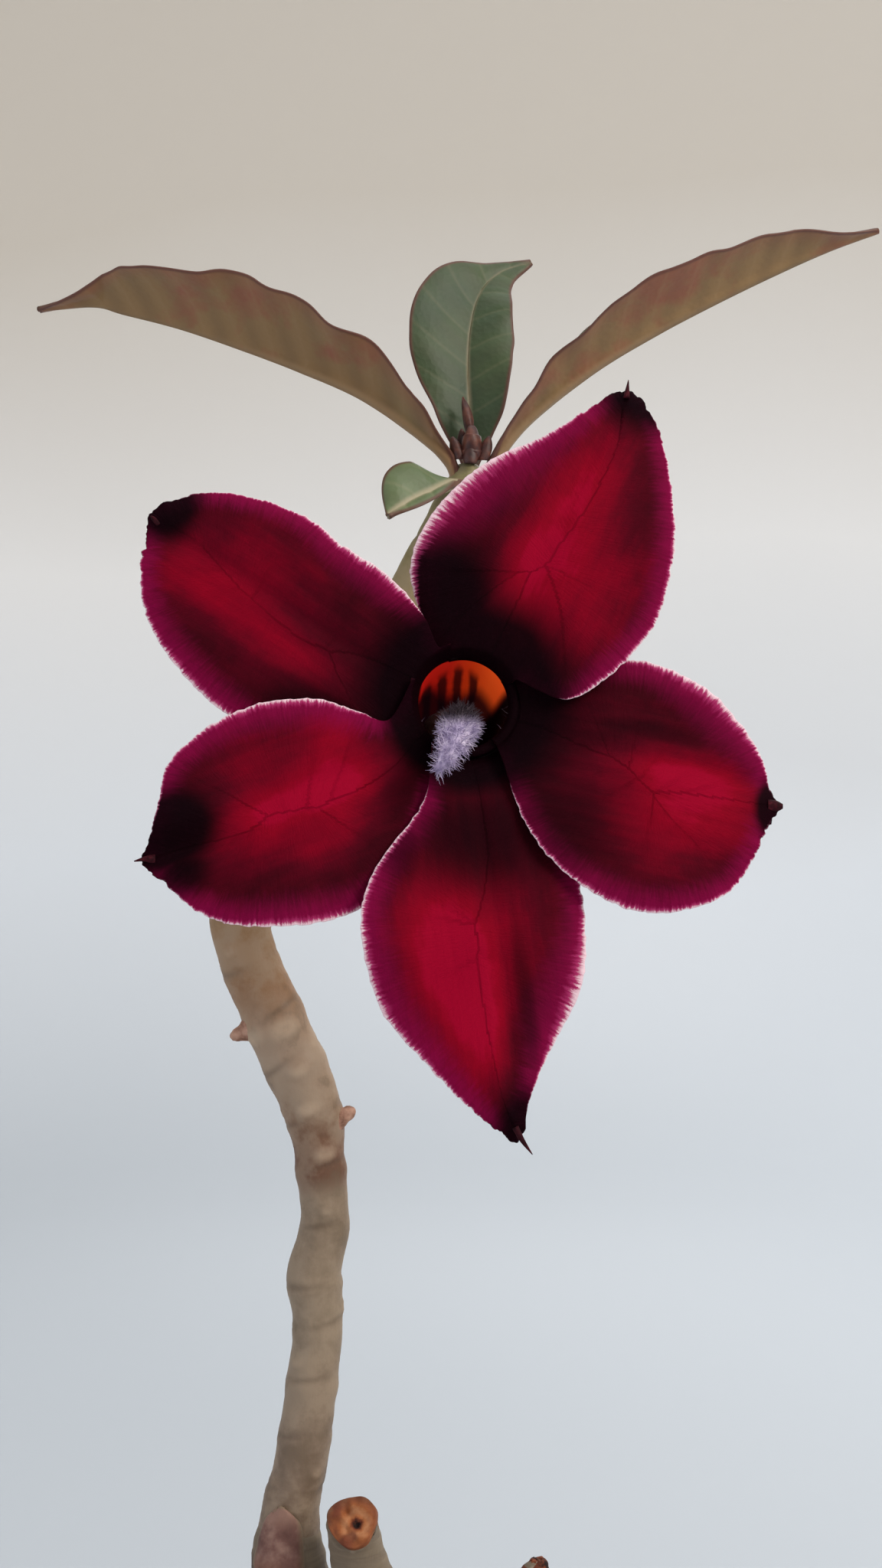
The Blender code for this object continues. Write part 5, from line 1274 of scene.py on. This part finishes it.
# Velvet: cone-shaped skin cells too small to see, drawn here as a grain a tenth of a millimetre across.
pile = add(petal, "ShaderNodeTexNoise", {"Vector": where, "Scale": 6500.0, "Detail": 2.0})
feel = add(petal, "ShaderNodeBump", {"Height": pile, "Distance": 0.00003})
feel = add(petal, "ShaderNodeBump", {"Height": nerves, "Distance": 0.00016, "Normal": feel})
feel = add(petal, "ShaderNodeBump", {"Height": feather, "Distance": 0.00010, "Normal": feel})
add(petal, "ShaderNodeOutputMaterial", {0: add(petal, "ShaderNodeBsdfPrincipled", {
    "Base Color": skin, "Roughness": 0.7, "Specular IOR Level": 0.03, "Normal": feel})}, None)

# The tip has dried to a hard point: dull red-brown, with a fine grain.
needle_skin, needle = blank("dry_petal_tip")
where = add(needle, "ShaderNodeTexCoord", out="Object")
grain = add(needle, "ShaderNodeTexNoise", {"Vector": where, "Scale": 2200.0, "Detail": 3.0})
colour = add(needle, "ShaderNodeValToRGB", {0: grain}, stops=((0.3, "#1a060b"), (0.55, "#360c16"), (0.75, "#561c24")))
add(needle, "ShaderNodeOutputMaterial", {0: add(needle, "ShaderNodeBsdfPrincipled", {
    "Base Color": colour, "Roughness": 0.7, "Specular IOR Level": 0.08,
    "Normal": add(needle, "ShaderNodeBump", {"Height": grain, "Distance": 0.00006})})}, None)

for k, (name, shape) in enumerate(PETALS.items()):
    mesh, tip = petal_body(name, 3.0 + 6.1 * k, *shape)
    stand_in(shown(name + "_blade", mesh, velvet), "petal", name)
    stand_in(shown(name + "_tip", tip, needle_skin), "petal")

# ---------------------------------------------------------------- The anthers and their tail
# The five anthers close into a ribbed, papery brown cone down in the tube. Their tails twist together into
# one plume that hangs out of the mouth, thickly covered in lavender-white hairs about a millimetre long.
anther_skin = downy("papery_anther", "#4a2a22", "#6b4536", "#8f6a55")
cone_path = path_of([((*flower_point(0.0, THROAT_UP, z),), r) for z, r in
                     ((-15.4, 2.5), (-14.6, 2.9), (-12.6, 2.25), (-10.4, 1.45), (-9.3, 1.0))], 10)
stand_in(shown("anther_ribs", swept("anther_ribs", cone_path, 60, lambda share, angle, centre: 0.14 * abs(math.cos(
    2.5 * angle)) - 0.07), anther_skin), "anther", "anther_cone")

# Plume hairs look soft and pale, lavender in their shade; the plume's upper side, up in the mouth of the tube, is
# painted near-black as shade.
plume_skin, plume = blank("lavender_plume")
where = add(plume, "ShaderNodeTexCoord", out="Object")
tone = add(plume, "ShaderNodeTexNoise", {"Vector": where, "Scale": 800.0, "Detail": 3.0})
colour = add(plume, "ShaderNodeValToRGB", {0: tone}, stops=((0.3, "#83749a"), (0.5, "#ad9fbf"), (0.72, "#d8cce0")))
height = add(plume, "ShaderNodeSeparateXYZ", {0: where}, "Z")
# Painted shade: above a height of about 238 mm the plume is painted near-black.
root = add(plume, "ShaderNodeMapRange", {0: height, 1: 0.2374, 2: 0.2389, 4: 0.95}, interpolation_type="SMOOTHSTEP")
colour = add(plume, "ShaderNodeMix", {0: root, 6: colour, 7: "#1e0a0c"}, 2, data_type="RGBA")
add(plume, "ShaderNodeOutputMaterial", {0: add(plume, "ShaderNodeBsdfPrincipled", {
    "Base Color": colour, "Roughness": 0.6, "Specular IOR Level": 0.2, "Sheen Weight": 0.08})}, None)
plume_path = path_of([((*flower_point(*p),), r) for p, r in (
    ((0.0, THROAT_UP - 0.6, -9.4), 0.8), ((-0.1, 1.2, -5.5), 0.95), ((-0.2, 0.6, -2.0), 1.15),
    ((-0.6, -0.2, 1.0), 1.3), ((-1.2, -1.5, 3.4), 1.3), ((-1.9, -3.3, 4.9), 1.05), ((-2.6, -4.7, 5.5), 0.75),
    ((-3.3, -5.8, 5.7), 0.35),
    ((-3.6, -6.2, 5.7), 0.1))], 12)
core = stand_in(shown("plume_core", swept("plume_core", plume_path, 32, lambda share, angle, centre: 0.12 * math.cos(
    5.0 * angle + 9.0 * share)), plume_skin), "anther", "anther_tail")


def hair(name, bend):
    """One tapering hair, a millimetre long, along +Z, drawn thicker than a real one so that it shows."""
    rows = [((bend * t * t * 0.001), t * 0.001, (1.0 - 0.85 * t) * 0.000045) for t in (0.0, 0.5, 1.0)]
    verts = [(x + r * math.cos(a), r * math.sin(a), z) for x, z, r in rows for a in (0.0, 2.094, 4.189)]
    faces = [(0, 2, 1), (6, 7, 8)] + [(3 * i + k, 3 * i + (k + 1) % 3, 3 * i + 3 + (k + 1) % 3, 3 * i + 3 + k)
                                      for i in range(2) for k in range(3)]
    mesh = bpy.data.meshes.new(name)
    mesh.from_pydata(verts, [], faces)
    return mesh


def hair_tree(name, one, material, seed, where_on):
    """Hairs standing on a surface where `where_on` is set, each leaning at random and of its own length."""
    tree, given = fresh_group(name, ("Hairs per square metre", 1.0), ("Shortest", 0.5), ("Longest", 0.8),
                              ("Lean", 0.5))
    masked = add(tree, "GeometryNodeInputNamedAttribute", {"Name": where_on}, data_type="FLOAT")
    picked = add(tree, "FunctionNodeCompare", {0: masked, 1: 0.5}, operation="GREATER_THAN")
    made = add(tree, "GeometryNodeDistributePointsOnFaces", {
        "Mesh": given["Geometry"], "Selection": picked, "Density": given["Hairs per square metre"], "Seed": seed},
        None).outputs
    lean = add(tree, "FunctionNodeRandomValue", {0: (-1.0, -1.0, -3.1), 1: (1.0, 1.0, 3.1), "Seed": seed + 1},
               data_type="FLOAT_VECTOR")
    share = add(tree, "ShaderNodeCombineXYZ", {0: given["Lean"], 1: given["Lean"], 2: 1.0})
    lean = add(tree, "ShaderNodeVectorMath", {0: lean, 1: share}, operation="MULTIPLY")
    turn = add(tree, "FunctionNodeRotateEuler", {0: made["Rotation"], 1: lean}, rotation_type="EULER", space="LOCAL")
    size = add(tree, "FunctionNodeRandomValue", {2: given["Shortest"], 3: given["Longest"], "Seed": seed + 2}, 1)
    one_hair = add(tree, "GeometryNodeObjectInfo", {"Object": one}, "Geometry")
    laid = add(tree, "GeometryNodeInstanceOnPoints", {
        "Points": made["Points"], "Instance": one_hair, "Rotation": turn, "Scale": size})
    real = add(tree, "GeometryNodeRealizeInstances", {"Geometry": laid})
    add(tree, "NodeGroupOutput", {0: add(tree, "GeometryNodeSetMaterial", {"Geometry": real, "Material": material})},
        None)
    return tree


# Hairs cover the plume where it is out of the tube, and a few stand on the tube's lip at each side.
reach = np.array([v.co for v in core.data.vertices]) * 1000.0 - np.array(FLOWER)
attribute(core.data, "hairy", (reach @ np.array(OUTWARD) > -2.5).astype(float))
one = shown("one_hair", hair("one_hair", 0.25), plume_skin)
grown("plume_hairs", core, hair_tree("plume_hairs", one, plume_skin, 5, "hairy"),
      {"Hairs per square metre": 22.0e6, "Shortest": 0.4, "Longest": 1.3, "Lean": 0.8}, "anther")
mouth = bpy.data.objects["corolla_funnel"]
seat = np.empty(len(mouth.data.vertices) * 3, np.float32)
mouth.data.attributes["throat"].data.foreach_get("vector", seat)
seat = seat.reshape(-1, 3)
inner_now = np.empty(len(seat), np.float32)
mouth.data.attributes["inner"].data.foreach_get("value", inner_now)
attribute(mouth.data, "lip", ((seat[:, 2] > -3.0) & (np.abs(seat[:, 0]) > 4.0) & (seat[:, 1] < 0.4)
                              & (inner_now > 0.5)).astype(float))
grown("mouth_hairs", mouth, hair_tree("mouth_hairs", one, plume_skin, 11, "lip"),
      {"Hairs per square metre": 0.8e6, "Shortest": 0.6, "Longest": 1.3, "Lean": 0.7}, "anther")
bpy.data.objects.remove(one, do_unlink=True)

# ---------------------------------------------------------------- The studio
# A pale sweep that curves up all round, soft light from the upper right and front, and a faint fill.
# Matt paper: no shine, with a slow, faint change of tone, and painted light falloff: bluish grey on the floor, palest
# on the lower wall, warmer grey higher up.
sweep_grey, sweep = blank("matt_studio_paper")
where = add(sweep, "ShaderNodeTexCoord", out="Object")
tone = add(sweep, "ShaderNodeTexNoise", {"Vector": where, "Scale": 1.1, "Detail": 1.0})
height = add(sweep, "ShaderNodeSeparateXYZ", {0: where}, "Z")
rise = add(sweep, "ShaderNodeMath", {0: tone, 1: 0.35, 2: height}, operation="MULTIPLY_ADD")
paper = add(sweep, "ShaderNodeValToRGB", {0: rise}, stops=((0.05, "#a9b1b9"), (0.35, "#d6dce3"), (0.62, "#e8e8e8"),
                                                           (1.0, "#d0c9bf")))
add(sweep, "ShaderNodeOutputMaterial", {0: add(sweep, "ShaderNodeBsdfPrincipled", {
    "Base Color": paper, "Roughness": 0.9, "Specular IOR Level": 0.2})}, None)
BEND = 900.0
curve = [(0.0, 0.0), (BEND, 0.0)]
curve += [(BEND + BEND * math.sin(t * math.pi / 32), BEND - BEND * math.cos(t * math.pi / 32)) for t in range(1, 17)]
curve += [(2.0 * BEND, 2600.0)]
sweep_mesh = turned("studio_sweep", curve, 96)
sweep_mesh.flip_normals()
shown("studio_sweep", sweep_mesh, sweep_grey)


def lamp(name, place, aim, side, watts, colour):
    """A square soft box, `side` metres wide, aimed at a place, and not itself in view."""
    made = bpy.data.lights.new(name, "AREA")
    made.energy, made.size, made.color = watts, side, linear(colour)[:3]
    obj = bpy.data.objects.new(name, made)
    obj.location = place
    obj.rotation_euler = (Vector(aim) - Vector(place)).to_track_quat("-Z", "Y").to_euler()
    obj.visible_camera = False
    bpy.context.scene.collection.objects.link(obj)


lamp("key", (0.75, -0.60, 0.85), (0.0, 0.0, 0.23), 0.55, 9.0, "#fff8ee")
lamp("fill", (-0.9, -0.7, 0.45), (0.0, 0.0, 0.20), 0.9, 3.0, "#eef3ff")
lamp("rim", (0.5, 0.9, 0.9), (0.0, 0.0, 0.22), 0.7, 4.0, "#ffffff")
lamp("overhead", (0.2, 0.1, 1.9), (0.0, 0.0, 0.0), 1.8, 11.0, "#ffffff")
lamp("backdrop", (0.35, 0.6, 1.15), (0.5, 1.8, 0.3), 0.8, 3.0, "#ffffff")
world = bpy.data.worlds.new("studio")
world.use_nodes = True
world.node_tree.nodes["Background"].inputs["Color"].default_value = linear("#e8eaee")
world.node_tree.nodes["Background"].inputs["Strength"].default_value = 0.6
bpy.context.scene.world = world
bpy.context.scene.view_settings.view_transform = "Standard"

lens = bpy.data.cameras.new("camera")
lens.lens, lens.sensor_width, lens.clip_start = 46.875, 36.0, 0.01
camera = bpy.data.objects.new("camera", lens)
camera.location = (0.0032, -0.242, 0.232)
camera.rotation_euler = (math.radians(90.0), 0.0, 0.0)
bpy.context.scene.collection.objects.link(camera)
bpy.context.scene.camera = camera
